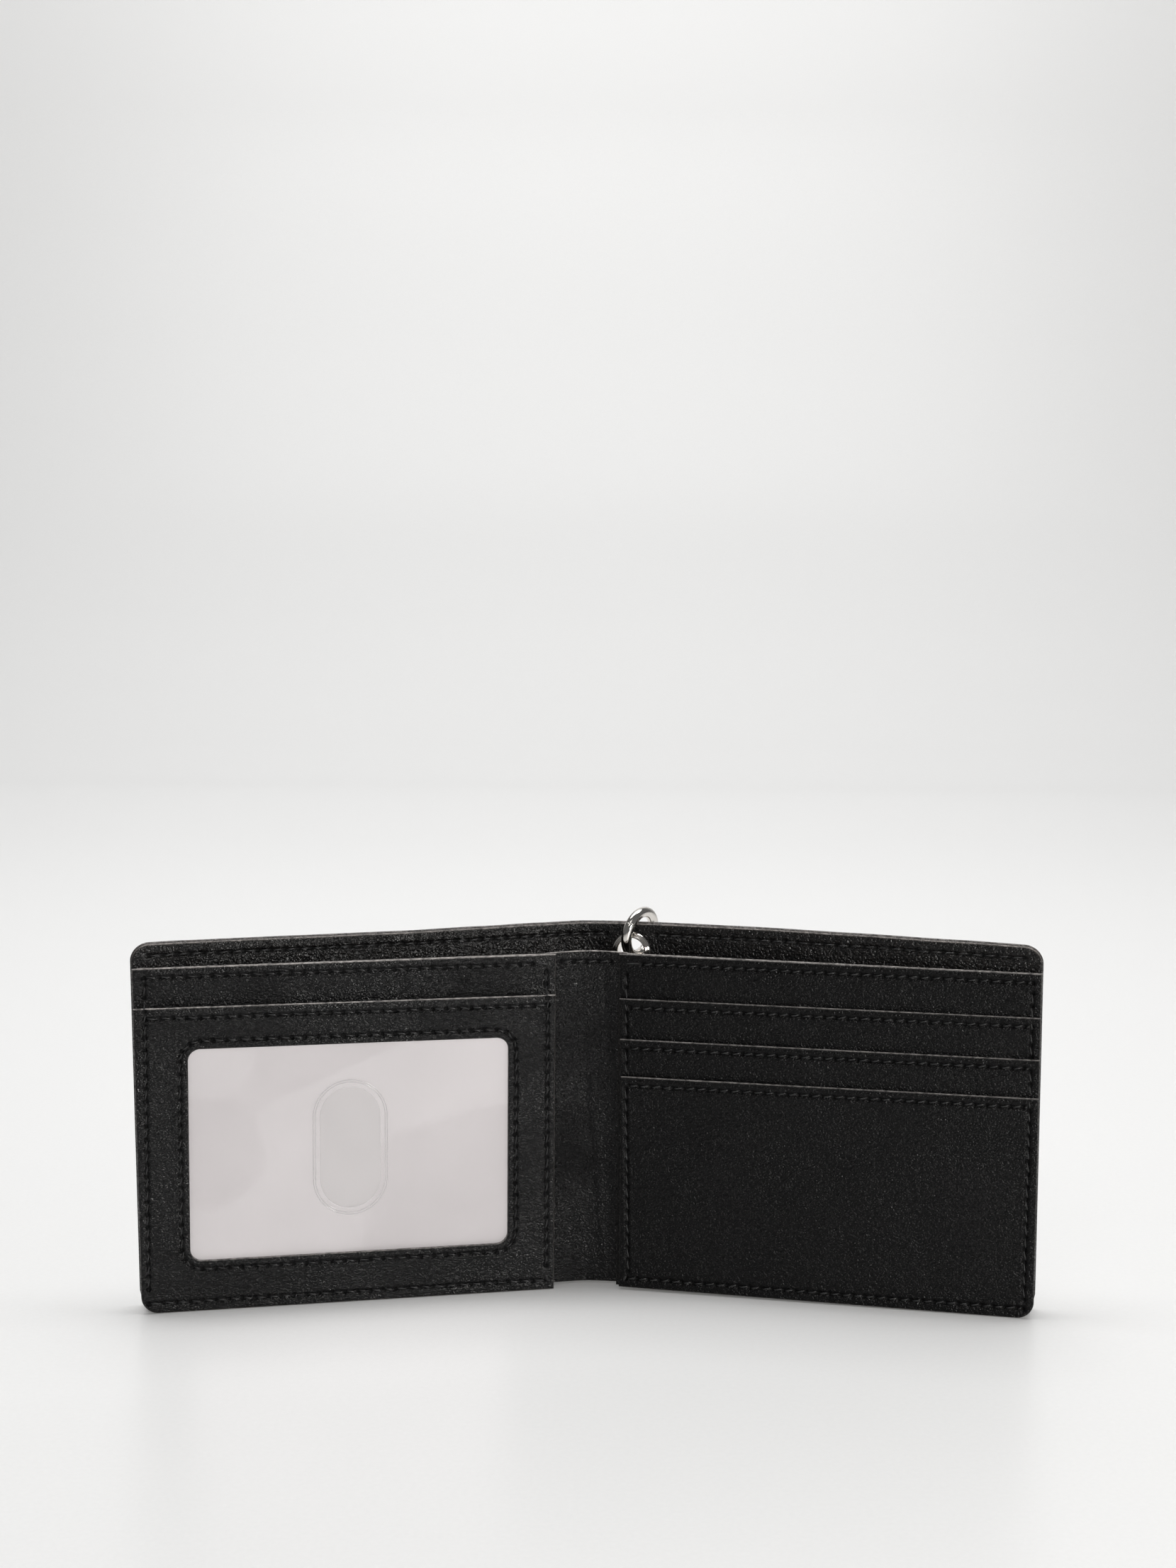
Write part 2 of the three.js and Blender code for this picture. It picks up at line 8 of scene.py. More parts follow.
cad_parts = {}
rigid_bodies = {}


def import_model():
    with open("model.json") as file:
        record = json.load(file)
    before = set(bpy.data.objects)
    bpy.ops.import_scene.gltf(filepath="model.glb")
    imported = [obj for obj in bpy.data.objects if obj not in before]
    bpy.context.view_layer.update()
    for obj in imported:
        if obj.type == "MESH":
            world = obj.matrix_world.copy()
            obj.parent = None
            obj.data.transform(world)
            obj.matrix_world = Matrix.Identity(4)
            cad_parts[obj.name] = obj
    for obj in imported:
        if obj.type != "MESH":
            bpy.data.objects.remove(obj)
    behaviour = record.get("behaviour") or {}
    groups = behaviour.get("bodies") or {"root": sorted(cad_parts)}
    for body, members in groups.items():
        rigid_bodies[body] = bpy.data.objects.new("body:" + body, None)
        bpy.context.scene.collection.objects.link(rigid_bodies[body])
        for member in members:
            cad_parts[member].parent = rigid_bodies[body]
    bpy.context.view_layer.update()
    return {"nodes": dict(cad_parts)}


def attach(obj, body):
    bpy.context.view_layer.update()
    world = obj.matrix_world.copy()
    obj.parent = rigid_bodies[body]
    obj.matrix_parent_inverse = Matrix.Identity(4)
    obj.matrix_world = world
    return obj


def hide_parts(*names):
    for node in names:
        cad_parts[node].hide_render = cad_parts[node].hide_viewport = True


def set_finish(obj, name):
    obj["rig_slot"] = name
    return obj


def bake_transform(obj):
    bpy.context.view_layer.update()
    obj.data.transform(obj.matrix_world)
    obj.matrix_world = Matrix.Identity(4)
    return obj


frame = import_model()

# ---------------------------------------------------------------- sizes, in mm
OX, OY = 0.0372, -2.4145            # fold line of the front planes in the part frame
PHI_L, PHI_R = math.radians(11.53), math.radians(10.68)
POCKET_S, SEAM_S, SEAM_OUT, SEAM_BOTTOM = 7.93, 9.84, 103.7, 2.4
MOUTH_Z = 72.2
SLOT_Z = [52.47, 61.32, 70.96]
INNER_TOP, INNER_TOP_OUT = 81.6, 81.1
WIN_S, WIN_Z, WIN_R = [19.3, 94.06], [12.0, 62.3], 2.8
THUMB = dict(s=56.7, z=37.1, w=14.0, h=29.0)
STACK_L, STACK_R = 4.0, 4.8
RIDGE_Y = 10.6
EYE_X, EYE_Z, EYE_BORE, EYE_FLANGE = 10.35, 80.9, 3.25, 4.85
RING_C = np.array([12.4, 10.85, 84.95])
RING_YAW, RING_LEAN, RING_R, RING_T = math.radians(37.4), math.radians(9.35), 5.38, 1.29
PITCH = 3.0

rng = np.random.RandomState(7)


def lerp(a, b, t):
    return a + (b - a) * t


def smooth(t):
    t = np.clip(t, 0, 1)
    return t * t * (3 - 2 * t)


def out_l(z):
    return lerp(105.35, 106.5, z / 82)


def out_r(z):
    return lerp(106.1, 105.7, z / 82)


def plane_l(s, n, z):
    c, d = math.cos(PHI_L), math.sin(PHI_L)
    return np.stack([-s * c - n * d, -s * d + n * c, z + 0 * s], -1)


def plane_r(s, n, z):
    c, d = math.cos(PHI_R), math.sin(PHI_R)
    return np.stack([s * c + n * d, -s * d + n * c, z + 0 * s], -1)


# ---------------------------------------------------------------- shell surface
I_L, I_R = STACK_L / math.cos(PHI_L) + 0.3, STACK_R / math.cos(PHI_R) + 0.3


def shell_y(x, z):
    w = smooth((x + 12) / 24)
    y0, k = lerp(I_L, I_R, w), lerp(math.tan(PHI_L), math.tan(PHI_R), w)
    low = y0 - k * np.sqrt(x * x + 16) + 6.6 * np.exp(-((x / 8.5) ** 2))
    kt = np.where(x < 0, 0.2845, 0.259)
    top = RIDGE_Y - kt * (np.sqrt(x * x + 64) - 8)
    return lerp(low, top, np.maximum(0, (z - 3) / 85))


TOP_X = [-110, -94, -70, -45, -26, -12, 0, 10, 20, 40, 63, 85, 110]
TOP_Z = [86.4, 86.68, 86.76, 86.82, 87.17, 87.5, 87.8, 87.9, 87.99, 88.02, 87.78, 87.44, 87.0]


def shell_top(x):
    x = np.asarray(x, float)
    i = np.clip(np.searchsorted(TOP_X, x) - 1, 0, len(TOP_X) - 2)
    x0, x1 = np.take(TOP_X, i), np.take(TOP_X, i + 1)
    z0, z1 = np.take(TOP_Z, i), np.take(TOP_Z, i + 1)
    return lerp(z0, z1, smooth((x - x0) / (x1 - x0)))


def shell_normal(x, z):
    e = 0.05
    v = np.stack([-(shell_y(x + e, z) - shell_y(x - e, z)) / (2 * e), np.ones_like(x + z),
                  -(shell_y(x, z + e) - shell_y(x, z - e)) / (2 * e)], -1)
    return v / np.linalg.norm(v, axis=-1, keepdims=True)


def shell_point(x, z, n):
    """n is measured to the back from the front face of the facing"""
    p = np.stack([x + 0 * z, shell_y(x, z), z + 0 * x], -1)
    nv = shell_normal(x + 0 * z, z + 0 * x)
    nv = nv / nv[..., 1:2]
    return p + nv * np.asarray(n)[..., None] * np.array([0.0, 1.0, 0.0])


# spine leather
SP = np.array([[-14, .45], [-9.66, 1.34], [-7.51, 1.83], [0, 3.3], [7.14, 2.80], [9.79, 2.30], [14, 1.5]])


def spine_y(x):
    x = np.asarray(x, float)
    i = np.clip(np.searchsorted(SP[:, 0], x) - 1, 1, len(SP) - 3)
    p0, p1, p2, p3 = SP[i - 1], SP[i], SP[i + 1], SP[i + 2]
    h = p2[..., 0] - p1[..., 0]
    t = (x - p1[..., 0]) / h
    m1 = (p2[..., 1] - p0[..., 1]) / (p2[..., 0] - p0[..., 0]) * h
    m2 = (p3[..., 1] - p1[..., 1]) / (p3[..., 0] - p1[..., 0]) * h
    return ((2 * t ** 3 - 3 * t * t + 1) * p1[..., 1] + (t ** 3 - 2 * t * t + t) * m1
            + (-2 * t ** 3 + 3 * t * t) * p2[..., 1] + (t ** 3 - t * t) * m2)


# ---------------------------------------------------------------- mesh helpers
def stations(a, b, base, near=(), fine=(-.55, -.28, 0, .28, .55), ends=(1, 1)):
    pts = []
    edge = [.04, .12, .24, .4, .7]
    if ends[0]:
        pts += [a + k for k in edge]
    if ends[1]:
        pts += [b - k for k in edge]
    for c in near:
        pts += [c + k for k in fine]
    pts = sorted(p for p in pts if a + .03 < p < b - .03)
    keep = [a]
    for p in pts:
        if p - keep[-1] > .1 or (p - a < .8 or b - p < .8) and p - keep[-1] > .03:
            keep.append(p)
    if b - keep[-1] < .03:
        keep.pop()
    keep.append(b)
    full = [keep[0]]
    for p, q in zip(keep[:-1], keep[1:]):
        k = max(1, int(math.ceil((q - p) / base)))
        full += [p + (q - p) * j / k for j in range(1, k + 1)]
    return np.array(full)


def closed_grid(F, B, keep=None):
    nz, ns = F.shape[:2]
    if keep is None:
        keep = np.ones((nz - 1, ns - 1), bool)
    idx = np.arange(nz * ns).reshape(nz, ns)
    off = nz * ns
    a, b, c, d = idx[:-1, :-1], idx[:-1, 1:], idx[1:, 1:], idx[1:, :-1]
    q = [np.stack([a, b, c, d], -1)[keep], np.stack([a + off, d + off, c + off, b + off], -1)[keep]]
    pad = np.pad(keep, 1)
    for e, u, v in ((keep & ~pad[:-2, 1:-1], b, a), (keep & ~pad[2:, 1:-1], d, c),
                    (keep & ~pad[1:-1, :-2], a, d), (keep & ~pad[1:-1, 2:], c, b)):
        q.append(np.stack([u, v, v + off, u + off], -1)[e])
    Q = np.concatenate(q)
    P = np.concatenate([F.reshape(-1, 3), B.reshape(-1, 3)])
    used = np.unique(Q)
    remap = np.zeros(len(P), int)
    remap[used] = np.arange(len(used))
    return P[used], remap[Q], used


def volume(P, Q):
    a = P[Q[:, 0]]
    v = 0.0
    for i, j in ((1, 2), (2, 3)):
        v += np.einsum("ij,ij->i", a, np.cross(P[Q[:, i]], P[Q[:, j]])).sum() / 6
    return v


def build(name, P, Q, mats, mask=None, slots=None, T=None):
    """closed mesh from quads Q and triangles T, points in mm in the fold frame"""
    P = np.asarray(P, float)
    Q = np.asarray(Q, int).reshape(-1, 4)
    T = np.zeros((0, 3), int) if T is None else np.asarray(T, int).reshape(-1, 3)
    vol = volume(P - P.mean(0), Q) if len(Q) else 0.0
    if len(T):
        c = P - P.mean(0)
        vol += np.einsum("ij,ij->i", c[T[:, 0]], np.cross(c[T[:, 1]], c[T[:, 2]])).sum() / 6
    if vol < 0:
        Q, T = Q[:, ::-1], T[:, ::-1]
    me = bpy.data.meshes.new(name)
    W = (P + np.array([-OX, -OY, 0])) * 0.001
    me.vertices.add(len(P))
    me.vertices.foreach_set("co", W.astype(np.float32).ravel())
    loops = np.concatenate([Q.ravel(), T.ravel()]).astype(np.int32)
    me.loops.add(len(loops))
    me.loops.foreach_set("vertex_index", loops)
    starts = np.concatenate([np.arange(len(Q)) * 4, len(Q) * 4 + np.arange(len(T)) * 3]).astype(np.int32)
    me.polygons.add(len(starts))
    me.polygons.foreach_set("loop_start", starts)
    me.update(calc_edges=True)
    me.polygons.foreach_set("use_smooth", np.ones(len(starts), bool))
    if slots is not None:
        me.polygons.foreach_set("material_index", np.asarray(slots, np.int32))
    at = me.attributes.new("rest", "FLOAT_VECTOR", "POINT")
    at.data.foreach_set("vector", P.astype(np.float32).ravel())
    at = me.attributes.new("mask", "FLOAT_VECTOR", "POINT")
    m = np.zeros((len(P), 3)) if mask is None else mask
    at.data.foreach_set("vector", m.astype(np.float32).ravel())
    for m in mats if isinstance(mats, (list, tuple)) else [mats]:
        me.materials.append(m)
    o = bpy.data.objects.new(name, me)
    bpy.context.scene.collection.objects.link(o)
    return o


def waves(s, z, seed, size, amount):
    r = np.random.RandomState(seed)
    f = 0 * s + 0 * z
    for _ in range(7):
        a = r.uniform(0, 2 * math.pi)
        k = 2 * math.pi / (size * r.uniform(.6, 1.7))
        f = f + np.sin(k * (math.cos(a) * s + math.sin(a) * z) + r.uniform(0, 6.28))
    return amount * f / 2.6


class Seam:
    """stitch holes along a line in the plane of a piece"""

    def __init__(self, pts, closed=False, jitter=.05, seed=1):
        p = np.asarray(pts, float)
        r = np.random.RandomState(seed)
        self.closed = closed
        self.holes = p + r.uniform(-jitter, jitter, p.shape)
        self.path = np.vstack([self.holes, self.holes[:1]]) if closed else self.holes

    def near(self, s, z):
        """(distance to the seam line, distance to the closest hole)"""
        P = np.stack([s.ravel(), z.ravel()], -1)
        d2 = np.full(len(P), 1e9)
        h2 = np.full(len(P), 1e9)
        for a, b in zip(self.path[:-1], self.path[1:]):
            lo, hi = np.minimum(a, b) - 3, np.maximum(a, b) + 3
            k = np.nonzero((P[:, 0] > lo[0]) & (P[:, 0] < hi[0]) & (P[:, 1] > lo[1]) & (P[:, 1] < hi[1]))[0]
            if not len(k):
                continue
            q, ab = P[k], b - a
            t = np.clip(((q - a) @ ab) / (ab @ ab), 0, 1)
            d2[k] = np.minimum(d2[k], ((q - a - t[:, None] * ab) ** 2).sum(1))
            h2[k] = np.minimum(h2[k], np.minimum(((q - a) ** 2).sum(1), ((q - b) ** 2).sum(1)))
        return np.sqrt(d2).reshape(s.shape), np.sqrt(h2).reshape(s.shape)


def relief(s, z, seams, deep=.62, groove=.17):
    """(depth into the leather, mask of the stitch holes that also drives their painted shade)"""
    dep, pit_shade = 0 * s, 0 * s
    for sm in seams:
        d, h = sm.near(s, z)
        e = np.exp(-(h / .44) ** 2)
        pull = .35 + .65 * (1 - np.exp(-(h / 1.0) ** 2))
        ridge = .075 * np.exp(-((d - .85) / .3) ** 2) * pull
        dep = np.where(d < 1.6, groove * np.exp(-(d / .42) ** 2) + deep * e - ridge + dep * (d > 1.2), dep)
        # this mask darkens the stitch holes in the leather colour: painted shade
        pit_shade = np.maximum(pit_shade, np.exp(-(h / .47) ** 2))
    return dep, pit_shade


def edge_profile(D, r):
    x = np.clip(D, 0, r)
    return r - np.sqrt(np.maximum(0, r * r - (r - x) ** 2))


def corner(a, b, R):
    """a, b: distances from two sides; returns them moved so that the corner is round, and the distance from the arc"""
    p, q = 1 - a / R, 1 - b / R
    m = (p > 0) & (q > 0)
    p1 = p * np.sqrt(np.maximum(0, 1 - q * q / 2))
    q1 = q * np.sqrt(np.maximum(0, 1 - p * p / 2))
    a2, b2 = np.where(m, R * (1 - p1), a), np.where(m, R * (1 - q1), b)
    d = np.where(m, R * (1 - np.hypot(p1, q1)), 1e9)
    return a2, b2, d


def open_hole(u, v, m0, m1):
    """points round a hole: u, v in units of its half size; squares become circles up to m0 and fade to squares at m1"""
    m = np.maximum(np.abs(u), np.abs(v))
    k = np.maximum(m, 1e-9)
    p, q = u / k, v / k
    cu, cv = p * np.sqrt(1 - q * q / 2) * m, q * np.sqrt(1 - p * p / 2) * m
    w = smooth((m - m0) / (m1 - m0))
    return lerp(cu, u, w), lerp(cv, v, w)


# ---------------------------------------------------------------- materials
def new_mat(name):
    m = bpy.data.materials.new(name)
    m.use_nodes = True
    nt = m.node_tree
    nt.nodes.clear()
    out = nt.nodes.new("ShaderNodeOutputMaterial")
    bs = nt.nodes.new("ShaderNodeBsdfPrincipled")
    nt.links.new(bs.outputs[0], out.inputs["Surface"])
    return m, nt, bs, out


def node(nt, kind, **kw):
    n = nt.nodes.new(kind)
    for k, v in kw.items():
        setattr(n, k, v)
    return n


def math_node(nt, op, a, b=None, clamp=False):
    n = node(nt, "ShaderNodeMath", operation=op, use_clamp=clamp)
    for i, x in enumerate((a, b)):
        if x is None:
            continue
        if isinstance(x, (int, float)):
            n.inputs[i].default_value = x
        else:
            nt.links.new(x, n.inputs[i])
    return n.outputs[0]


def remap(nt, x, a, b, c, d):
    n = node(nt, "ShaderNodeMapRange")
    nt.links.new(x, n.inputs[0])
    for i, v in enumerate((a, b, c, d)):
        n.inputs[i + 1].default_value = v
    return n.outputs[0]


def mix_rgb(nt, f, a, b):
    n = node(nt, "ShaderNodeMix", data_type="RGBA")
    if isinstance(f, (int, float)):
        n.inputs[0].default_value = f
    else:
        nt.links.new(f, n.inputs[0])
    for sock, x in ((n.inputs[6], a), (n.inputs[7], b)):
        if isinstance(x, tuple):
            sock.default_value = (*x, 1)
        else:
            nt.links.new(x, sock)
    return n.outputs[2]


def rest_coords(nt, scale=(1, 1, 1), rot=(0, 0, 0), loc=(0, 0, 0)):
    at = node(nt, "ShaderNodeAttribute", attribute_name="rest")
    mp = node(nt, "ShaderNodeMapping")
    mp.inputs["Location"].default_value = loc
    mp.inputs["Rotation"].default_value = rot
    mp.inputs["Scale"].default_value = scale
    nt.links.new(at.outputs["Vector"], mp.inputs["Vector"])
    return mp.outputs[0]


def noise(nt, vec, scale, detail=2.0, rough=.5):
    n = node(nt, "ShaderNodeTexNoise")
    nt.links.new(vec, n.inputs["Vector"])
    n.inputs["Scale"].default_value = scale
    n.inputs["Detail"].default_value = detail
    n.inputs["Roughness"].default_value = rough
    return n.outputs[0]


def leather(name, cell=.55, grain=1.0, dark=(.0016, .0016, .0017), light=(.007, .0065, .0066), rough=(.15, .23),
            spec=.13, crease=1.0, seed=0.0, edge_wear_and_highlight_tint=None):
    m, nt, bs, _ = new_mat(name)
    base = rest_coords(nt, loc=(seed, seed * .7, seed * 1.3))
    # domain warp so that the pebbles are never regular
    wn = node(nt, "ShaderNodeTexNoise")
    nt.links.new(base, wn.inputs["Vector"])
    wn.inputs["Scale"].default_value = .9
    wn.inputs["Detail"].default_value = 1
    wadd = node(nt, "ShaderNodeVectorMath", operation="MULTIPLY_ADD")
    nt.links.new(wn.outputs[1], wadd.inputs[0])
    wadd.inputs[1].default_value = (.6, .6, .6)
    nt.links.new(base, wadd.inputs[2])
    warped = wadd.outputs[0]
    vo = node(nt, "ShaderNodeTexVoronoi", feature="F1")
    nt.links.new(warped, vo.inputs["Vector"])
    vo.inputs["Scale"].default_value = 1 / cell
    dd = math_node(nt, "MULTIPLY", vo.outputs["Distance"], vo.outputs["Distance"])
    peb = remap(nt, dd, 0.0, .56, 1.0, 0.0)
    fine = noise(nt, warped, .95 / cell, 2.0, .6)
    # diagonal creases, stronger in patches
    diag = rest_coords(nt, scale=(.55, .55, 1.6), rot=(0, math.radians(38), 0), loc=(seed, 0, 3))
    wr = noise(nt, diag, .95, 3.0, .62)
    patch = remap(nt, noise(nt, base, .055, 2.0, .5), .42, .62, .15, 1.0)
    wr2 = math_node(nt, "MULTIPLY", remap(nt, wr, .35, .7, 0, 1), patch)
    at = node(nt, "ShaderNodeAttribute", attribute_name="mask")
    sep = node(nt, "ShaderNodeSeparateXYZ")
    nt.links.new(at.outputs["Vector"], sep.inputs[0])
    hem, edge, pit_shade = sep.outputs
    flat = remap(nt, hem, 0, 1, 1.0, .75)
    h = math_node(nt, "ADD", math_node(nt, "MULTIPLY", peb, .5), math_node(nt, "MULTIPLY", fine, 1.25))
    h = math_node(nt, "MULTIPLY", h, flat)
    h = math_node(nt, "ADD", h, math_node(nt, "MULTIPLY", wr2, .9 * crease))
    bump = node(nt, "ShaderNodeBump")
    bump.inputs["Strength"].default_value = 1.0
    bump.inputs["Distance"].default_value = .0002 * grain
    nt.links.new(h, bump.inputs["Height"])
    nt.links.new(bump.outputs[0], bs.inputs["Normal"])
    tone = math_node(nt, "MULTIPLY", peb, remap(nt, fine, .3, .7, .25, 1.0))
    tone = math_node(nt, "MULTIPLY", tone, remap(nt, noise(nt, base, .08, 3.0, .6), .3, .7, .55, 1.0))
    col = mix_rgb(nt, tone, dark, light)
    # pale edge tint: partly the edge coating's own colour, partly painted highlight standing in for the glints on the
    # burnished edges
    edge_wear_and_highlight = math_node(nt, "MULTIPLY", edge, remap(nt, noise(nt, base, .8, 3.0, .6), .35, .65, .25, 1.0))
    geo = node(nt, "ShaderNodeNewGeometry")
    gs = node(nt, "ShaderNodeSeparateXYZ")
    nt.links.new(geo.outputs["Normal"], gs.inputs[0])
    # painted highlight: upward-facing edges get more of the pale tint, as if lit from above
    edge_wear_and_highlight = math_node(nt, "MULTIPLY", edge_wear_and_highlight, remap(nt, gs.outputs[2], .05, .55, .22, 1.0))
    col = mix_rgb(nt, edge_wear_and_highlight, col, edge_wear_and_highlight_tint or (.46, .43, .41))
    # painted shade: the stitch holes are darkened to near black, as if in shadow
    col = mix_rgb(nt, remap(nt, pit_shade, 0.1, .8, 0, .95), col, (.001, .001, .001))
    nt.links.new(col, bs.inputs["Base Color"])
    ro = remap(nt, noise(nt, base, .35, 3.0, .6), .3, .7, rough[0], rough[1])
    ro = math_node(nt, "SUBTRACT", ro, math_node(nt, "MULTIPLY", edge, .08))
    ro = math_node(nt, "ADD", ro, math_node(nt, "MULTIPLY", pit_shade, .6), clamp=True)
    nt.links.new(ro, bs.inputs["Roughness"])
    bs.inputs["Specular IOR Level"].default_value = spec
    return m


def fabric(name):
    m, nt, bs, _ = new_mat(name)
    v = rest_coords(nt, scale=(1, 1, 1), rot=(0, math.radians(45), 0))
    w1 = node(nt, "ShaderNodeTexWave", wave_type="BANDS", bands_direction="X")
    w2 = node(nt, "ShaderNodeTexWave", wave_type="BANDS", bands_direction="Z")
    for w in (w1, w2):
        nt.links.new(v, w.inputs["Vector"])
        w.inputs["Scale"].default_value = .75
        w.inputs["Distortion"].default_value = .4
    s = math_node(nt, "MULTIPLY", w1.outputs[1], w2.outputs[1])
    bump = node(nt, "ShaderNodeBump")
    bump.inputs["Strength"].default_value = .6
    bump.inputs["Distance"].default_value = .00008
    nt.links.new(s, bump.inputs["Height"])
    nt.links.new(bump.outputs[0], bs.inputs["Normal"])
    nt.links.new(mix_rgb(nt, s, (.004, .004, .0045), (.02, .02, .021)), bs.inputs["Base Color"])
    bs.inputs["Roughness"].default_value = .85
    bs.inputs["Sheen Weight"].default_value = .15
    return m


def thread_mat(name):
    m, nt, bs, _ = new_mat(name)
    v = rest_coords(nt, rot=(0, math.radians(35), 0))
    w = node(nt, "ShaderNodeTexWave", wave_type="BANDS", bands_direction="DIAGONAL")
    nt.links.new(v, w.inputs["Vector"])
    w.inputs["Scale"].default_value = 1.6
    w.inputs["Distortion"].default_value = .5
    bump = node(nt, "ShaderNodeBump")
    bump.inputs["Strength"].default_value = .7
    bump.inputs["Distance"].default_value = .00006
    nt.links.new(w.outputs[1], bump.inputs["Height"])
    nt.links.new(bump.outputs[0], bs.inputs["Normal"])
    n = noise(nt, rest_coords(nt), .7, 2.0)
    nt.links.new(mix_rgb(nt, n, (.0015, .0015, .0018), (.008, .0078, .0078)), bs.inputs["Base Color"])
    nt.links.new(remap(nt, n, .3, .7, .3, .45), bs.inputs["Roughness"])
    bs.inputs["Specular IOR Level"].default_value = .5
    bs.inputs["Sheen Weight"].default_value = .05
    return m


def nickel(name):
    m, nt, bs, _ = new_mat(name)
    v = rest_coords(nt, scale=(1, 1, 1))
    n = noise(nt, v, 1.1, 4.0, .6)
    f = noise(nt, rest_coords(nt, scale=(1, 6, 1)), 3.0, 2.0)
    nt.links.new(mix_rgb(nt, n, (.60, .57, .53), (.78, .755, .72)), bs.inputs["Base Color"])
    nt.links.new(remap(nt, n, .3, .7, .045, .11), bs.inputs["Roughness"])
    bump = node(nt, "ShaderNodeBump")
    bump.inputs["Strength"].default_value = .25
    bump.inputs["Distance"].default_value = .00003
    nt.links.new(f, bump.inputs["Height"])
    nt.links.new(bump.outputs[0], bs.inputs["Normal"])
    bs.inputs["Metallic"].default_value = 1
    return m


def paper(name):
    m, nt, bs, _ = new_mat(name)
    v = rest_coords(nt)
    n = noise(nt, v, .03, 2.0)
    f = noise(nt, v, 3.0, 3.0, .7)
    c = mix_rgb(nt, remap(nt, n, .35, .65, 0, 1), (.505, .485, .49), (.545, .524, .529))
    c = mix_rgb(nt, remap(nt, f, .3, .7, 0, .12), c, (.43, .413, .417))
    nt.links.new(c, bs.inputs["Base Color"])
    bump = node(nt, "ShaderNodeBump")
    bump.inputs["Strength"].default_value = .3
    bump.inputs["Distance"].default_value = .00003
    nt.links.new(f, bump.inputs["Height"])
    nt.links.new(bump.outputs[0], bs.inputs["Normal"])
    bs.inputs["Roughness"].default_value = .8
    bs.inputs["Specular IOR Level"].default_value = .3
    return m


def film(name):
    m, nt, bs, out = new_mat(name)
    v = rest_coords(nt)
    n = noise(nt, v, .035, 2.0, .5)
    bump = node(nt, "ShaderNodeBump")
    bump.inputs["Strength"].default_value = .5
    bump.inputs["Distance"].default_value = .0006
    nt.links.new(n, bump.inputs["Height"])
    nt.links.new(bump.outputs[0], bs.inputs["Normal"])
    s = noise(nt, rest_coords(nt, scale=(1, 1, .25)), .5, 3.0, .6)
    at = node(nt, "ShaderNodeAttribute", attribute_name="mask")
    sep = node(nt, "ShaderNodeSeparateXYZ")
    nt.links.new(at.outputs["Vector"], sep.inputs[0])
    weld = sep.outputs[0]
    pale = mix_rgb(nt, s, (.84, .83, .84), (.93, .915, .93))
    nt.links.new(mix_rgb(nt, weld, pale, (.33, .325, .33)), bs.inputs["Base Color"])
    # painted reflection: pale sweeps where more of the milky surface shows, standing in for soft reflections in the
    # film
    painted_reflection_noise = noise(nt, rest_coords(nt, scale=(1, 1, 1.7), rot=(0, math.radians(18), 0), loc=(11, 0, 4)), .022, .6, .4)
    patch = remap(nt, painted_reflection_noise, .49, .53, 0, 1)
    nt.links.new(remap(nt, s, .3, .7, .06, .14), bs.inputs["Roughness"])
    tr = node(nt, "ShaderNodeBsdfTransparent")
    tr.inputs[0].default_value = (.998, .996, .998, 1)
    fr = node(nt, "ShaderNodeFresnel")
    fr.inputs["IOR"].default_value = 1.5
    fac = math_node(nt, "ADD", math_node(nt, "MULTIPLY", fr.outputs[0], .5), .008)
    # the pale sweeps of painted reflection
    fac = math_node(nt, "ADD", fac, math_node(nt, "MULTIPLY", patch, .055))
    fac = math_node(nt, "ADD", fac, math_node(nt, "MULTIPLY", weld, .3), clamp=True)
    mx = node(nt, "ShaderNodeMixShader")
    nt.links.new(fac, mx.inputs[0])
    nt.links.new(tr.outputs[0], mx.inputs[1])
    nt.links.new(bs.outputs[0], mx.inputs[2])
    nt.links.new(mx.outputs[0], out.inputs["Surface"])
    return m


def board(name, base, rough, spec):
    m, nt, bs, _ = new_mat(name)
    tc = node(nt, "ShaderNodeTexCoord")
    n = noise(nt, tc.outputs["Object"], 900.0, 3.0, .7)
    lo = tuple(x * .93 for x in base)
    nt.links.new(mix_rgb(nt, n, lo, base), bs.inputs["Base Color"])
    bs.inputs["Roughness"].default_value = rough
    bs.inputs["Specular IOR Level"].default_value = spec
    return m


# leather_left and leather_right are one leather; the right one is a shaded copy whose lower specular level makes the
# right half render darker
M_LEFT = leather("leather_left", cell=.53, spec=.19, grain=1.1, seed=0)
M_RIGHT = leather("leather_right", cell=.46, grain=.85, spec=.115, edge_wear_and_highlight_tint=(.25, .235, .225), seed=31)
M_SPINE = leather("leather_spine", cell=.53, spec=.155, grain=1.1, crease=1.7, seed=57)
M_FACING = leather("leather_facing", cell=.6, grain=1.15, spec=.22, light=(.013, .0112, .0103), rough=(.16, .25), seed=83, crease=.6, edge_wear_and_highlight_tint=(.26, .235, .22))
M_SHELL = leather("leather_shell", cell=.62, grain=1.2, spec=.3, light=(.012, .011, .011), seed=101, crease=.7, edge_wear_and_highlight_tint=(.2, .18, .17))
M_FABRIC = fabric("lining_twill")
M_THREAD = thread_mat("thread_waxed")
M_NICKEL = nickel("nickel_polished")
M_PAPER = paper("insert_stock")
M_FILM = film("pvc_film")


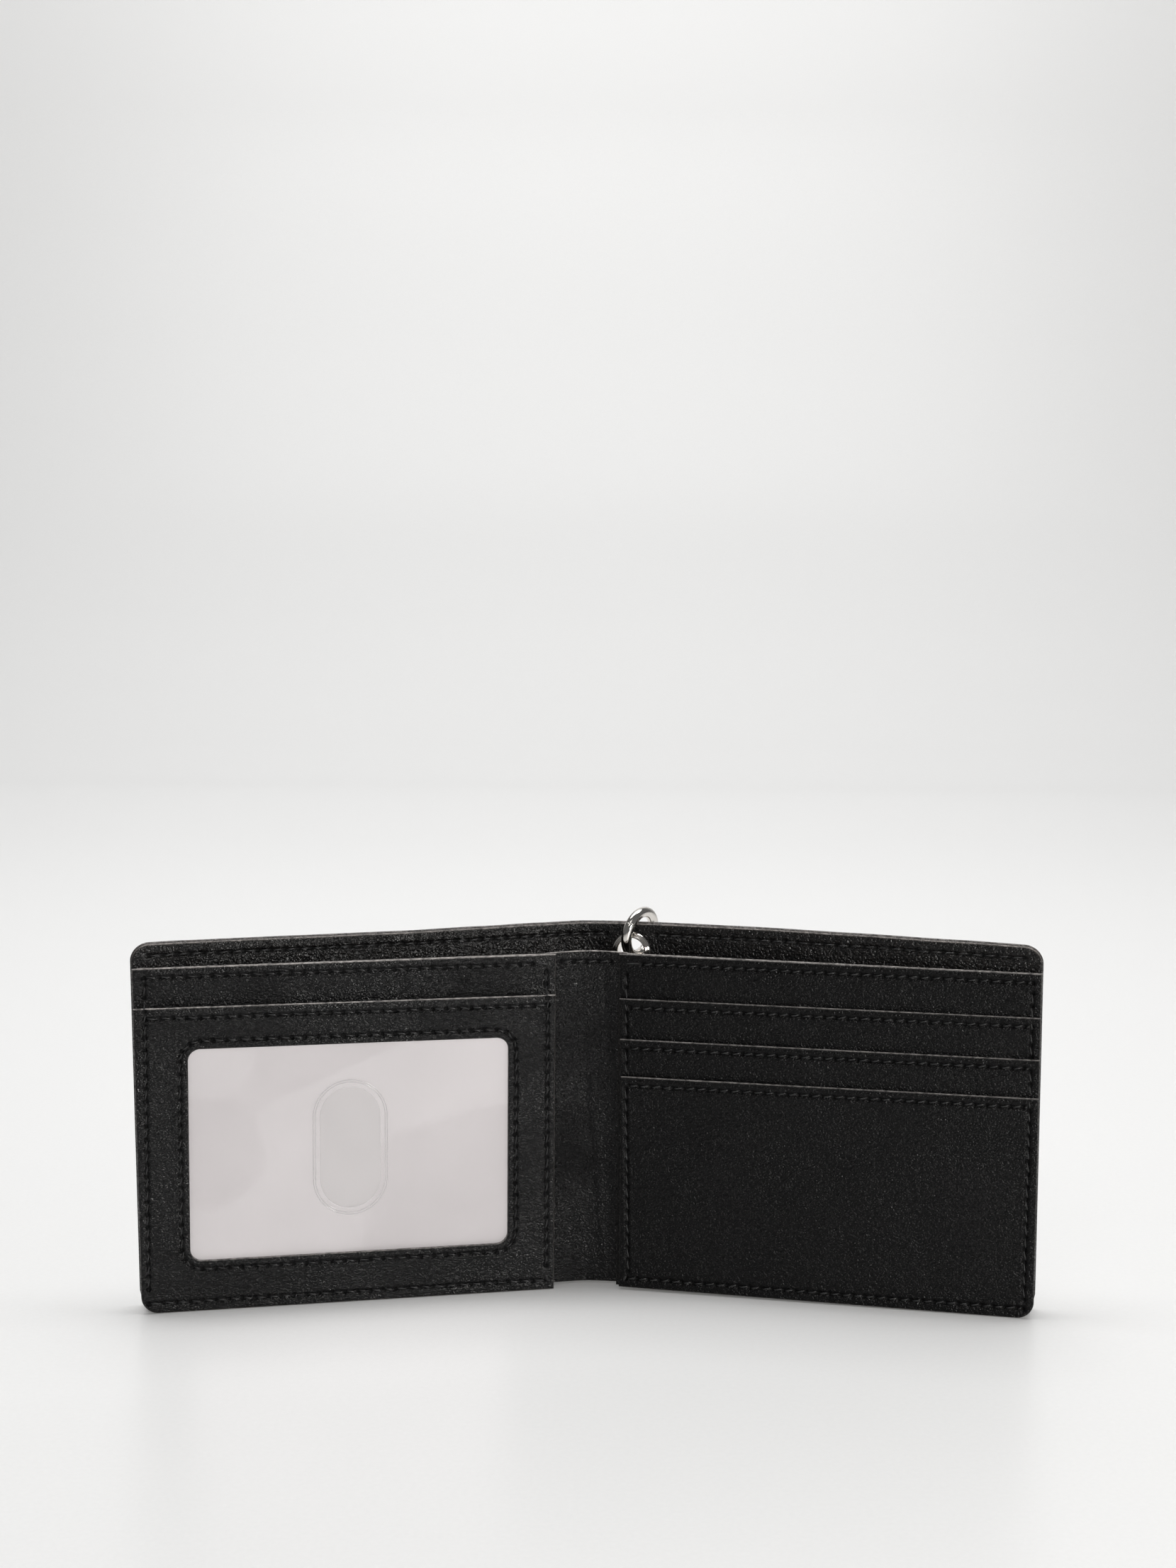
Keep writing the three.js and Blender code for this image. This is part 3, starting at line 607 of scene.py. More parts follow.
# ---------------------------------------------------------------- leather plates of the two halves
def plate(name, side, s_in, z_in, z_top, z_out, n0, t, svals, zvals, mat, seams=(), corners=(), hem=0.0, r=None,
          window=False, wavy=.05, seed=1, side_hem=0.0, z_low=None, bow=None):
    """side -1 or 1; svals, zvals: stations; z_top at the spine side, z_out outside"""
    out = out_l if side < 0 else out_r
    o0 = svals[-1]
    S, Z = np.meshgrid(svals, zvals)
    zt = lerp(z_top, z_out, np.clip((S - 8) / 98, 0, 1))
    Z = z_in + (Z - z_in) * (zt - z_in) / (z_top - z_in)
    if z_low is not None:
        lift = z_low(S)
        Z = Z + lift * np.clip(1 - (Z - z_in) / 12, 0, 1)
    else:
        lift = 0 * S
    oz = out(Z)
    S = np.where(S > 104.2, 104.2 + (S - 104.2) * (oz - 104.2) / (o0 - 104.2), S)
    a1, a2 = S - s_in, oz - S
    b1, b2 = Z - z_in - lift, zt - Z
    D = np.minimum(np.minimum(a1, a2), np.minimum(b1, b2))
    for ka, kb, R in corners:
        a = a1 if ka == 1 else a2
        b = b1 if kb == 1 else b2
        na, nb, d = corner(a, b, R)
        if ka == 1:
            S = s_in + na
        else:
            S = oz - na
        if kb == 1:
            Z = z_in + lift + nb
        else:
            Z = zt - nb
        D = np.where(d < 1e8, np.minimum(d, D), D)
        D = np.where(d < 1e8, d, D)
    keep = None
    Dw = 1e9 + 0 * S
    if window:
        keep = np.ones((len(zvals) - 1, len(svals) - 1), bool)
        sm, zm = (svals[1:] + svals[:-1]) / 2, (zvals[1:] + zvals[:-1]) / 2
        SM, ZM = np.meshgrid(sm, zm)
        keep &= ~((SM > WIN_S[0]) & (SM < WIN_S[1]) & (ZM > WIN_Z[0]) & (ZM < WIN_Z[1]))
        S0, Z0 = S.copy(), Z.copy()
        for cs, ds in ((WIN_S[0], -1), (WIN_S[1], 1)):
            for cz, dz in ((WIN_Z[0], -1), (WIN_Z[1], 1)):
                ca, cb = cs - ds * WIN_R, cz - dz * WIN_R
                u, v = (S0 - ca) * ds / WIN_R, (Z0 - cb) * dz / WIN_R
                k = (u > 0) & (v > 0) & (u < 4) & (v < 4)
                nu, nv = open_hole(u, v, 1.75, 3.4)
                S = np.where(k, ca + ds * nu * WIN_R, S)
                Z = np.where(k, cb + dz * nv * WIN_R, Z)
        # distance from the opening
        dx = np.maximum(np.maximum(WIN_S[0] + WIN_R - S, S - WIN_S[1] + WIN_R), 0)
        dz_ = np.maximum(np.maximum(WIN_Z[0] + WIN_R - Z, Z - WIN_Z[1] + WIN_R), 0)
        Dw = np.hypot(dx, dz_) - WIN_R
    r = r or t / 2 - .05
    dep, pit_shade = relief(S, Z, seams)
    calm = smooth(np.minimum(D, Dw) / 6)
    wave = waves(S, Z, seed, 34, wavy) * calm + waves(S, Z, seed + 5, 9, wavy * .35) * smooth(D / 2)
    # turned hem: slightly thicker between the edge and its seam
    hm = 0 * S
    if hem:
        hm = np.maximum(hm, smooth((hem - b2) / .5))
    if side_hem:
        hm = np.maximum(hm, .6 * smooth((side_hem - np.minimum(a1, a2)) / .6))
        hm = np.maximum(hm, .6 * smooth((side_hem - b1) / .6))
    if window:
        hm = np.maximum(hm, .7 * smooth((1.95 - Dw) / .5))
    front = n0 + edge_profile(D, r) + np.minimum(dep, t - .2) - .09 * hm + np.clip(wave, -.14, .2)
    back = n0 + t - edge_profile(D, r) + 0 * wave
    if window:
        ragged = .05 * np.sin(S * 7.1 + Z * 3.3) * np.sin(S * 2.7 - Z * 8.9)
        front = front + edge_profile(Dw + .02 * ragged, .16)
        back = back - edge_profile(Dw, .08)
    if bow is not None:
        b = bow(S, Z)
        front, back = front + b, back + b
    front = np.minimum(front, back - .06)
    world = plane_l if side < 0 else plane_r
    F, B = world(S, front, Z), world(S, back, Z)
    P, Q, used = closed_grid(F, B, keep)
    edge = np.exp(-(np.minimum(D, Dw + .12) / .17) ** 2)
    m = np.stack([hm, edge, pit_shade], -1).reshape(-1, 3)
    mk = np.concatenate([m, m * np.array([0, 1, 0])])[used]
    return build(name, P, Q, mat, mask=mk)


def series(a, b, start, pitch):
    k0, k1 = math.ceil((a - start) / pitch - 1e-6), math.floor((b - start) / pitch + 1e-6)
    return [start + k * pitch for k in range(k0, k1 + 1)]


HOLE = (-.5, -.22, 0, .22, .5)
ACROSS = (-1.1, -.75, -.45, -.22, 0, .22, .45, .75, 1.1)

# hole stations shared by the seams of one half
PL_S, PL_Z = (WIN_S[1] - WIN_S[0] - 2 * WIN_R) / 23, (WIN_Z[1] - WIN_Z[0] - 2 * WIN_R) / 15
LS = series(SEAM_S + .9, SEAM_OUT - .9, WIN_S[0] + WIN_R, PL_S)
LZ = series(SEAM_BOTTOM + .6, 79.0, WIN_Z[0] + WIN_R, PL_Z)
RS = series(SEAM_S + .9, SEAM_OUT - .9, SEAM_S + 2.6, 2.72)
RZ = series(SEAM_BOTTOM + .6, 79.0, SEAM_BOTTOM + 2.2, 3.0)

TOP_L, TOP_LO = INNER_TOP - 2.2, INNER_TOP_OUT - 2.15


def top_seam_z(s):
    return lerp(TOP_L, TOP_LO, np.clip((np.asarray(s) - 8) / 98, 0, 1))


def column(s, zs, seed):
    return Seam([[s, z] for z in zs], seed=seed)


def row(ss, z, seed):
    return Seam([[s, z(s) if callable(z) else z] for s in ss], seed=seed)


w2 = 1.95
rw = WIN_R + w2
win_pts = []
for s in series(WIN_S[0] + WIN_R, WIN_S[1] - WIN_R, WIN_S[0] + WIN_R, PL_S):
    win_pts.append([s, WIN_Z[0] - w2])


def arc(cs, cz, a0, a1, k=2):
    return [[cs + rw * math.cos(math.radians(lerp(a0, a1, (i + 1) / (k + 1)))),
             cz + rw * math.sin(math.radians(lerp(a0, a1, (i + 1) / (k + 1))))] for i in range(k)]


win_pts += arc(WIN_S[1] - WIN_R, WIN_Z[0] + WIN_R, -90, 0)
win_pts += [[WIN_S[1] + w2, z] for z in series(WIN_Z[0] + WIN_R, WIN_Z[1] - WIN_R, WIN_Z[0] + WIN_R, PL_Z)]
win_pts += arc(WIN_S[1] - WIN_R, WIN_Z[1] - WIN_R, 0, 90)
win_pts += [[s, WIN_Z[1] + w2] for s in reversed(series(WIN_S[0] + WIN_R, WIN_S[1] - WIN_R, WIN_S[0] + WIN_R, PL_S))]
win_pts += arc(WIN_S[0] + WIN_R, WIN_Z[1] - WIN_R, 90, 180)
win_pts += [[WIN_S[0] - w2, z] for z in reversed(series(WIN_Z[0] + WIN_R, WIN_Z[1] - WIN_R, WIN_Z[0] + WIN_R, PL_Z))]
win_pts += arc(WIN_S[0] + WIN_R, WIN_Z[0] + WIN_R, 180, 270)

sw = Seam(win_pts, closed=True, seed=3)
sl_in = column(SEAM_S, [z for z in LZ if z < 79.2], 4)
sl_out = column(SEAM_OUT, [z for z in LZ if z < 78.8], 5)
sl_bot = row([SEAM_S] + LS + [SEAM_OUT], SEAM_BOTTOM, 6)
sl_mouth = row([SEAM_S] + LS + [SEAM_OUT], MOUTH_Z - 2.4, 7)
sl_top = row(LS + [SEAM_OUT], top_seam_z, 8)

# left half
svf = stations(POCKET_S, 105.35, .8, [SEAM_S + k for k in ACROSS] + [SEAM_OUT + k for k in ACROSS]
               + [s + k for s in LS for k in HOLE] + [WIN_S[0] + k for k in (-.16, -.07, 0)]
               + [WIN_S[0] - w2 + k for k in ACROSS] + [WIN_S[1] + k for k in (0, .07, .16)]
               + [WIN_S[1] + w2 + k for k in ACROSS], fine=(0,))
zvf = stations(0, MOUTH_Z, .8, [SEAM_BOTTOM + k for k in ACROSS] + [MOUTH_Z - 2.4 + k for k in ACROSS]
               + [z + k for z in LZ if z < MOUTH_Z - .8 for k in HOLE] + [WIN_Z[0] + k for k in (-.16, -.07, 0)]
               + [WIN_Z[0] - w2 + k for k in ACROSS] + [WIN_Z[1] + k for k in (0, .07, .16)]
               + [WIN_Z[1] + w2 + k for k in ACROSS], fine=(0,))


def snap(v, targets):
    v = v.copy()
    for t in targets:
        v[np.argmin(np.abs(v - t))] = t
    return v


svf, zvf = snap(svf, WIN_S), snap(zvf, WIN_Z)
window_frame = plate("window_frame_leather", -1, POCKET_S, 0, MOUTH_Z, MOUTH_Z, 0, .9, svf, zvf, M_LEFT,
                     seams=[sw, sl_in, sl_out, sl_bot, sl_mouth], corners=[(2, 1, 4.0)], hem=2.4, window=True,
                     side_hem=2.0, seed=11)
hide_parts("window_frame")
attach(window_frame, "left_half")

zb = np.concatenate([stations(0, 70, 6, ends=(1, 0)), stations(70.4, INNER_TOP, .8, [TOP_L + k for k in ACROSS]
                     + [z + k for z in LZ if z > 71 for k in HOLE], fine=(0,), ends=(0, 1))])
sb = stations(7.5, 105.35, .8, [SEAM_S + k for k in ACROSS] + [SEAM_OUT + k for k in ACROSS]
              + [s + k for s in LS for k in HOLE], fine=(0,))
up = lambda sm, z0: Seam([p for p in sm.holes if p[1] > z0], jitter=0)
left_back = plate("left_pocket_leather", -1, 7.5, 0, INNER_TOP, INNER_TOP_OUT, 2.2, .8, sb, zb, M_LEFT,
                  seams=[up(sl_in, 72), up(sl_out, 72), sl_top], corners=[(2, 1, 4.0)], hem=2.2, side_hem=2.0, seed=12)
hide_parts("left_pocket_back")
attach(left_back, "left_half")

# right half
sr_in = Seam([[SEAM_S + .45 - 1.85 * z / 80, z] for z in RZ if z < 79.2], seed=14)
sr_out = column(SEAM_OUT, [z for z in RZ if z < 78.8], 15)
sr_bot = row([SEAM_S] + RS + [SEAM_OUT], lambda s: SEAM_BOTTOM + .55 * (1 - (s - 8) / 95), 16)
sr_slot = [row([SEAM_S] + RS + [SEAM_OUT], SLOT_Z[i] - 2.1, 17 + i) for i in range(3)]
sr_top = row(RS + [SEAM_OUT], top_seam_z, 21)


def sv_right(s0):
    return stations(s0, 106.1, .8, list(np.arange(SEAM_S - 2.3, SEAM_S + 1.5, .23)) + [SEAM_OUT + k for k in ACROSS]
                    + [s + k for s in RS for k in HOLE], fine=(0,))


def zv_strip(z0, z1, seam, zs):
    return stations(z0, z1, .8, [seam + k for k in ACROSS] + [z + k for z in zs for k in HOLE], fine=(0,))


low_r = lambda s: .62 * np.clip(1 - (s - 8.75) / 95, 0, 1) ** 1.0
zf = stations(0, SLOT_Z[0], .8, [SEAM_BOTTOM + k for k in (-.75, -.45, -.22, 0, .22, .45, .75, 1.0)]
              + [SLOT_Z[0] - 2.1 + k for k in ACROSS] + [z + k for z in RZ if z < SLOT_Z[0] - .8 for k in HOLE], fine=(0,))
layers = [("card_pocket_front", POCKET_S, 0, SLOT_Z[0], 0.0, zf, [sr_bot, sr_slot[0]], 0, low_r, [(2, 1, 4.0)]),
          ("card_pocket_middle", 7.5, 46, SLOT_Z[1], 1.0,
           np.concatenate([[46, 46.2, 47, 49, 51.2], zv_strip(52, SLOT_Z[1], SLOT_Z[1] - 2.1, [z for z in RZ if 52.2 < z < 60.5])]),
           [sr_slot[1]], 52.6, None, []),
          ("card_pocket_rear", 7.1, 56, SLOT_Z[2], 2.0,
           np.concatenate([[56, 56.2, 57, 59, 60.2], zv_strip(60.9, SLOT_Z[2], SLOT_Z[2] - 2.1, [z for z in RZ if 61 < z < 70.2])]),
           [sr_slot[2]], 61.4, None, []),
          ("right_pocket_back", 6.75, 0, INNER_TOP, 3.0,
           np.concatenate([stations(0, 69, 6, ends=(1, 0)), zv_strip(70, INNER_TOP, TOP_L, [z for z in RZ if z > 70.5])]),
           [sr_top], 71.0, None, [(2, 1, 4.0)])]
for i, (nm, s0, z0, z1, n0, zv, sms, zlow, lowf, cor) in enumerate(layers):
    zo = INNER_TOP_OUT if nm == "right_pocket_back" else z1
    cols = []
    for c in (sr_in, sr_out):
        hs = [p for p in c.holes if zlow < p[1] < z1 - .6]
        if len(hs) > 1:
            cols.append(Seam(hs, jitter=0))
    o = plate(nm + "_leather", 1, s0, z0, z1, zo, n0, .8, sv_right(s0), zv, M_RIGHT, seams=sms + cols, corners=cor,
              hem=2.1, side_hem=2.0 if i in (0, 3) else 0, seed=20 + i, z_low=lowf)
    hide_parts(nm)
    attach(o, "right_half")


# ---------------------------------------------------------------- leather that crosses the fold
def ribbon(name, X, Y, NX, NY, z0, z1, zv, t, mat, seams=(), front_extra=None, U=None, seed=1, hem=0, corners=True,
           r=None, wavy=.05):
    """cross-section points (X, Y) with unit normals to the back; zv in 0..1 or stations"""
    nz, nu = len(zv), len(X)
    ZT = np.broadcast_to(z1, (nu,))
    ZB = np.broadcast_to(z0, (nu,))
    Z = ZB[None] + (ZT - ZB)[None] * ((zv - zv[0]) / (zv[-1] - zv[0]))[:, None]
    S = np.broadcast_to(U, (nz, nu))
    arc_l = np.concatenate([[0], np.cumsum(np.hypot(np.diff(X), np.diff(Y)))])
    a = np.minimum(arc_l, arc_l[-1] - arc_l)[None] + 0 * Z
    D = np.minimum(a, np.minimum(Z - ZB[None], ZT[None] - Z))
    r = r or t / 2 - .05
    dep, pit_shade = relief(S, Z, seams)
    hm = smooth((hem - (ZT[None] - Z)) / .5) if hem else 0 * Z
    wave = waves(S, Z, seed, 30, wavy) * smooth(D / 6)
    front = edge_profile(D, r) + np.minimum(dep, t - .2) - .09 * hm + np.clip(wave, -.1, .15)
    back = t - edge_profile(D, r)
    if front_extra is not None:
        e = front_extra(S, Z)
        front = front + e
        back = back + e
    F = np.stack([X[None] + NX[None] * front, Y[None] + NY[None] * front, Z], -1)
    B = np.stack([X[None] + NX[None] * back, Y[None] + NY[None] * back, Z], -1)
    P, Q, used = closed_grid(F, B)
    m = np.stack([hm, np.exp(-(D / .17) ** 2), pit_shade], -1).reshape(-1, 3)
    return build(name, P, Q, mat, mask=np.concatenate([m, m * np.array([0, 1, 0])])[used])


def curve_normals(X, Y):
    dx, dy = np.gradient(X), np.gradient(Y)
    L = np.hypot(dx, dy)
    return -dy / L, dx / L


# inner panel, one sheet from side to side
ROUND = (0, .9, 1.7, 2.4, 3.0, 3.5)
sl = stations(9.9, 105.35, 4, [101.1], fine=ROUND, ends=(0, 1))[::-1]
PLn = plane_l(sl, np.full(len(sl), STACK_L - .8), 0 * sl)
sr = stations(9.9, 105.9, 4, [101.6], fine=ROUND, ends=(0, 1))
PRn = plane_r(sr, np.full(len(sr), STACK_R - .8), 0 * sr)
spine_holes = [-6.4, -3.5, -.6, 2.3, 5.2]
xs = stations(-9.3, 9.5, .5, [h + k for h in spine_holes for k in HOLE], fine=(0,), ends=(0, 0))
XC = np.concatenate([PLn[:, 0], xs, PRn[:, 0]])
YC = np.concatenate([PLn[:, 1], spine_y(xs), PRn[:, 1]])
UC = np.concatenate([PLn[:, 0], xs, PRn[:, 0]])
NXc, NYc = curve_normals(XC, YC)
ztop = np.where(np.abs(XC) < 9.5, INNER_TOP + .15 + .3 * (1 - (XC / 9.5) ** 2),
                lerp(INNER_TOP - .02, INNER_TOP_OUT - .1, np.clip((np.abs(XC) - 9.5) / 96, 0, 1)))
arc_c = np.concatenate([[0], np.cumsum(np.hypot(np.diff(XC), np.diff(YC)))])
end_c = 4.3 - np.minimum(4.3, np.minimum(arc_c, arc_c[-1] - arc_c))
zbot = np.where(np.abs(XC) < 9.6, .35, .25 + 0 * XC) + 4.3 - np.sqrt(np.maximum(0, 4.3 ** 2 - end_c ** 2))
s_spine = Seam([[x, TOP_L + .1] for x in spine_holes], seed=31)
zc = np.concatenate([stations(0, 76, 1.6, ends=(1, 0)),
                     stations(76.6, INNER_TOP + .2, .8, [TOP_L + .1 + k for k in ACROSS], fine=(0,), ends=(0, 1))])


def spine_folds(S, Z):
    """soft vertical rolls and diagonal drag lines of the worked spine"""
    w = np.exp(-(S / 7.5) ** 2) * smooth(Z / 6) * smooth((INNER_TOP - Z) / 5)
    return w * (.10 * np.sin(S * 1.15 + Z * .05) + .06 * np.sin(S * 1.9 + Z * .16 + 1.0))


inner = ribbon("inner_panel_leather", XC, YC, NXc, NYc, zbot, ztop, zc, .8, M_SPINE, seams=[s_spine], U=UC,
               front_extra=spine_folds, seed=41, hem=2.2)
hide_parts("inner_panel_left", "inner_panel_spine", "inner_panel_right")
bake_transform(inner)

# shell, facing and lining
OUT_L, OUT_R = lambda z: lerp(-104.76, -105.9, z / 86.5), lambda z: lerp(105.95, 105.45, z / 87)
shell_holes = [x for x in np.arange(-101.5, 102.0, 3.02) if not 6.6 < x < 14.2]


def top_seam(x):
    return shell_top(np.asarray(x)) - 2.9


s_shell_l = Seam([[x, float(top_seam(x))] for x in shell_holes if x < 5], seed=33)
s_shell_r = Seam([[x, float(top_seam(x))] for x in shell_holes if x > 5], seed=34)
EYE_H = 3.85


def shell_sheet(name, xs, zs, inset, z_low, n0, t, mat, seams=(), back_seams=(), corners=4.2, eye=True, wavy=.06, seed=1,
                r=None, smooth_back=False, low_round=True, top_drop=0.0):
    X, V = np.meshgrid(xs, zs)
    x_lo, x_hi = xs[0], xs[-1]
    keep = None
    # the top follows the curve, the sides lean
    top = shell_top(X) - top_drop
    Z = z_low + (V - z_low) * (top - z_low) / (zs[-1] - z_low)
    if eye:
        sm, zm = (xs[1:] + xs[:-1]) / 2, (zs[1:] + zs[:-1]) / 2
        SM, ZM = np.meshgrid(sm, zm)
        keep = ~((np.abs(SM - EYE_X) < EYE_H) & (np.abs(ZM - EYE_Z) < EYE_H))
        u, v = (X - EYE_X) / EYE_H, (V - EYE_Z) / EYE_H
        k = (np.abs(u) < 1.75) & (np.abs(v) < 1.75)
        nu, nv = open_hole(u, v, 1.06, 1.68)
        Z = np.where(k, Z + (nv - v) * EYE_H, Z)
        X = np.where(k, EYE_X + nu * EYE_H, X)
        zc_ = Z[np.argmin(np.abs(zs - EYE_Z)), np.argmin(np.abs(xs - EYE_X))]
        De = np.hypot(X - EYE_X, Z - zc_) - EYE_H
    else:
        De = 1e9 + 0 * X
    lo, hi = OUT_L(Z) + inset, OUT_R(Z) - inset
    X = np.where(X < -90, -90 - (-90 - X) * (-90 - lo) / (-90 - x_lo), X)
    X = np.where(X > 90, 90 + (X - 90) * (hi - 90) / (x_hi - 90), X)
    a1, a2, b1, b2 = X - lo, hi - X, Z - z_low, (shell_top(X) - top_drop) - Z
    D = np.minimum(np.minimum(a1, a2), np.minimum(b1, b2))
    for ka in (1, 2):
        for kb in ((1, 2) if low_round else (2,)):
            a, b = (a1 if ka == 1 else a2), (b1 if kb == 1 else b2)
            na, nb, d = corner(a, b, corners)
            X = np.where(d < 1e8, lo + na if ka == 1 else hi - na, X)
            Z = np.where(d < 1e8, z_low + nb if kb == 1 else (shell_top(X) - top_drop) - nb, Z)
            D = np.where(d < 1e8, d, D)
    r = r or t / 2 - .05
    dep, pit_shade = relief(X, Z, seams) if seams else (0 * X, 0 * X)
    depb, back_pit_shade = relief(X, Z, back_seams) if back_seams else (0 * X, 0 * X)
    calm = smooth(np.minimum(D, De) / 6)
    wv = waves(X, Z, seed, 40, wavy) * calm + waves(X, Z, seed + 3, 8, wavy * .4) * smooth(np.minimum(D, De) / 3)
    front = n0 + edge_profile(D, r) + np.minimum(dep, t - .2) + edge_profile(De, .15)
    back = n0 + t - edge_profile(D, r) - np.minimum(depb, t * .6) - edge_profile(De, .15)
    front, back = front + np.clip(wv, -.08, .1), back + np.clip(wv, -.1, .1) * (0 if smooth_back else 1)
    front = np.minimum(front, back - .06)
    Y = shell_y(X, Z)
    F, B = np.stack([X, Y + front, Z], -1), np.stack([X, Y + back, Z], -1)
    P, Q, used = closed_grid(F, B, keep)
    edge = np.exp(-(np.minimum(D, De + .3) / .24) ** 2)
    hem = smooth((2.9 - D) / .6) * .5
    mf, mb = np.stack([hem, edge, pit_shade], -1).reshape(-1, 3), np.stack([hem * .6, edge, back_pit_shade], -1).reshape(-1, 3)
    return build(name, P, Q, mat, mask=np.concatenate([mf, mb])[used])


eye_x = [EYE_X + EYE_H * k for k in (-1.68, -1.4, -1.2, -1.06, -1.0, -.8, -.6, -.4, -.2, 0, .2, .4, .6, .8, 1.0, 1.06, 1.2, 1.4, 1.68)]
eye_z = [EYE_Z + EYE_H * k for k in (-1.68, -1.4, -1.2, -1.06, -1.0, -.8, -.6, -.4, -.2, 0, .2, .4, .6, .8, 1.0, 1.06, 1.2, 1.4, 1.68)]
xf = stations(-104.9, 105.0, 1.1, [h + k for h in shell_holes for k in HOLE] + eye_x, fine=(0,))
zfz = stations(61, 87.7, .9, [84.8 + k for k in (-.9, -.65, -.45, -.3, -.15, 0, .15, .3, .45, .65, .9)] + eye_z, fine=(0,))
xf, zfz = snap(xf, [EYE_X - EYE_H, EYE_X + EYE_H]), snap(zfz, [EYE_Z - EYE_H, EYE_Z + EYE_H])
facing = shell_sheet("note_facing_leather", xf, zfz, .5, 61, 0, .9, M_FACING, seams=[s_shell_l, s_shell_r], seed=51,
                     low_round=False, top_drop=.25, wavy=.1, corners=3.9)
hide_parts("note_facing_left", "note_facing_spine", "note_facing_right")
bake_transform(facing)

xo = stations(-104.9, 105.6, 1.3, [h + k for h in shell_holes for k in HOLE] + eye_x, fine=(0,))
zo = stations(0, 87.9, 1.6, [84.9 + k for k in (-.9, -.65, -.45, -.3, -.15, 0, .15, .3, .45, .65, .9)] + eye_z, fine=(0,))
xo, zo = snap(xo, [EYE_X - EYE_H, EYE_X + EYE_H]), snap(zo, [EYE_Z - EYE_H, EYE_Z + EYE_H])
shell = shell_sheet("outer_shell_leather", xo, zo, 0, 0, 1.1, 1.3, M_SHELL, back_seams=[s_shell_l, s_shell_r], seed=61, wavy=.1)
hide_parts("outer_shell_left", "outer_shell_spine", "outer_shell_right")
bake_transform(shell)


def sheet_xz(name, xs, zs, n0, t, mat, seed, wavy=.04):
    X, Z = np.meshgrid(xs, zs)
    D = np.minimum(np.minimum(X - xs[0], xs[-1] - X), np.minimum(Z - zs[0], zs[-1] - Z))
    wv = waves(X, Z, seed, 14, wavy)
    Y = shell_y(X, Z) + wv
    e = edge_profile(D, t / 2 - .03)
    F, B = np.stack([X, Y + n0 + e, Z], -1), np.stack([X, Y + n0 + t - e, Z], -1)
    P, Q, used = closed_grid(F, B)
    return build(name, P, Q, mat)


lining = sheet_xz("note_lining_cloth", stations(-103.5, 103.5, 1.8), stations(1.5, 60.7, 1.8), .5, .3, M_FABRIC, 71)
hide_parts("note_lining_left", "note_lining_spine", "note_lining_right")
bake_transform(lining)


def cloth_plate(name, s0, s1, z0, z1, n0, seed):
    S, Z = np.meshgrid(stations(s0, s1, 2.0), stations(z0, z1, 2.0))
    D = np.minimum(np.minimum(S - s0, s1 - S), np.minimum(Z - z0, z1 - Z))
    e = edge_profile(D, .12)
    w = waves(S, Z, seed, 16, .05)
    P, Q, used = closed_grid(plane_r(S, n0 + e + w, Z), plane_r(S, n0 + .3 - e + w, Z))
    o = build(name, P, Q, M_FABRIC)
    return o


for nm, z0, z1, n0 in (("pocket_lining_middle", 14, 45.7, 1.25), ("pocket_lining_rear", 24, 55.7, 2.25)):
    o = cloth_plate(nm + "_cloth", 11, 102.5, z0, z1, n0, int(z0))
    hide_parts(nm)
    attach(o, "right_half")


# ---------------------------------------------------------------- window film and insert
def stadium(d, K=96):
    """outline at distance d outside the thumb slot"""
    w, h = THUMB["w"] / 2 + d, THUMB["h"] / 2 + d
    st = h - w
    per = np.linspace(0, 1, K, endpoint=False)
    L = 2 * math.pi * (THUMB["w"] / 2 + 2) + 4 * (THUMB["h"] - THUMB["w"]) / 2
    arc_len, flat = math.pi * (THUMB["w"] / 2 + 2), THUMB["h"] - THUMB["w"]
    tot = 2 * arc_len + 2 * flat
    out = []
    for u in per * tot:
        if u < arc_len:
            a = u / arc_len * math.pi
            out.append([w * math.cos(a), st + w * math.sin(a)])
        elif u < arc_len + flat:
            out.append([-w, st - (u - arc_len) / flat * 2 * st])
        elif u < 2 * arc_len + flat:
            a = math.pi + (u - arc_len - flat) / arc_len * math.pi
            out.append([w * math.cos(a), -st + w * math.sin(a)])
        else:
            out.append([w, -st + (u - 2 * arc_len - flat) / flat * 2 * st])
    return np.array(out) + [THUMB["s"], THUMB["z"]]


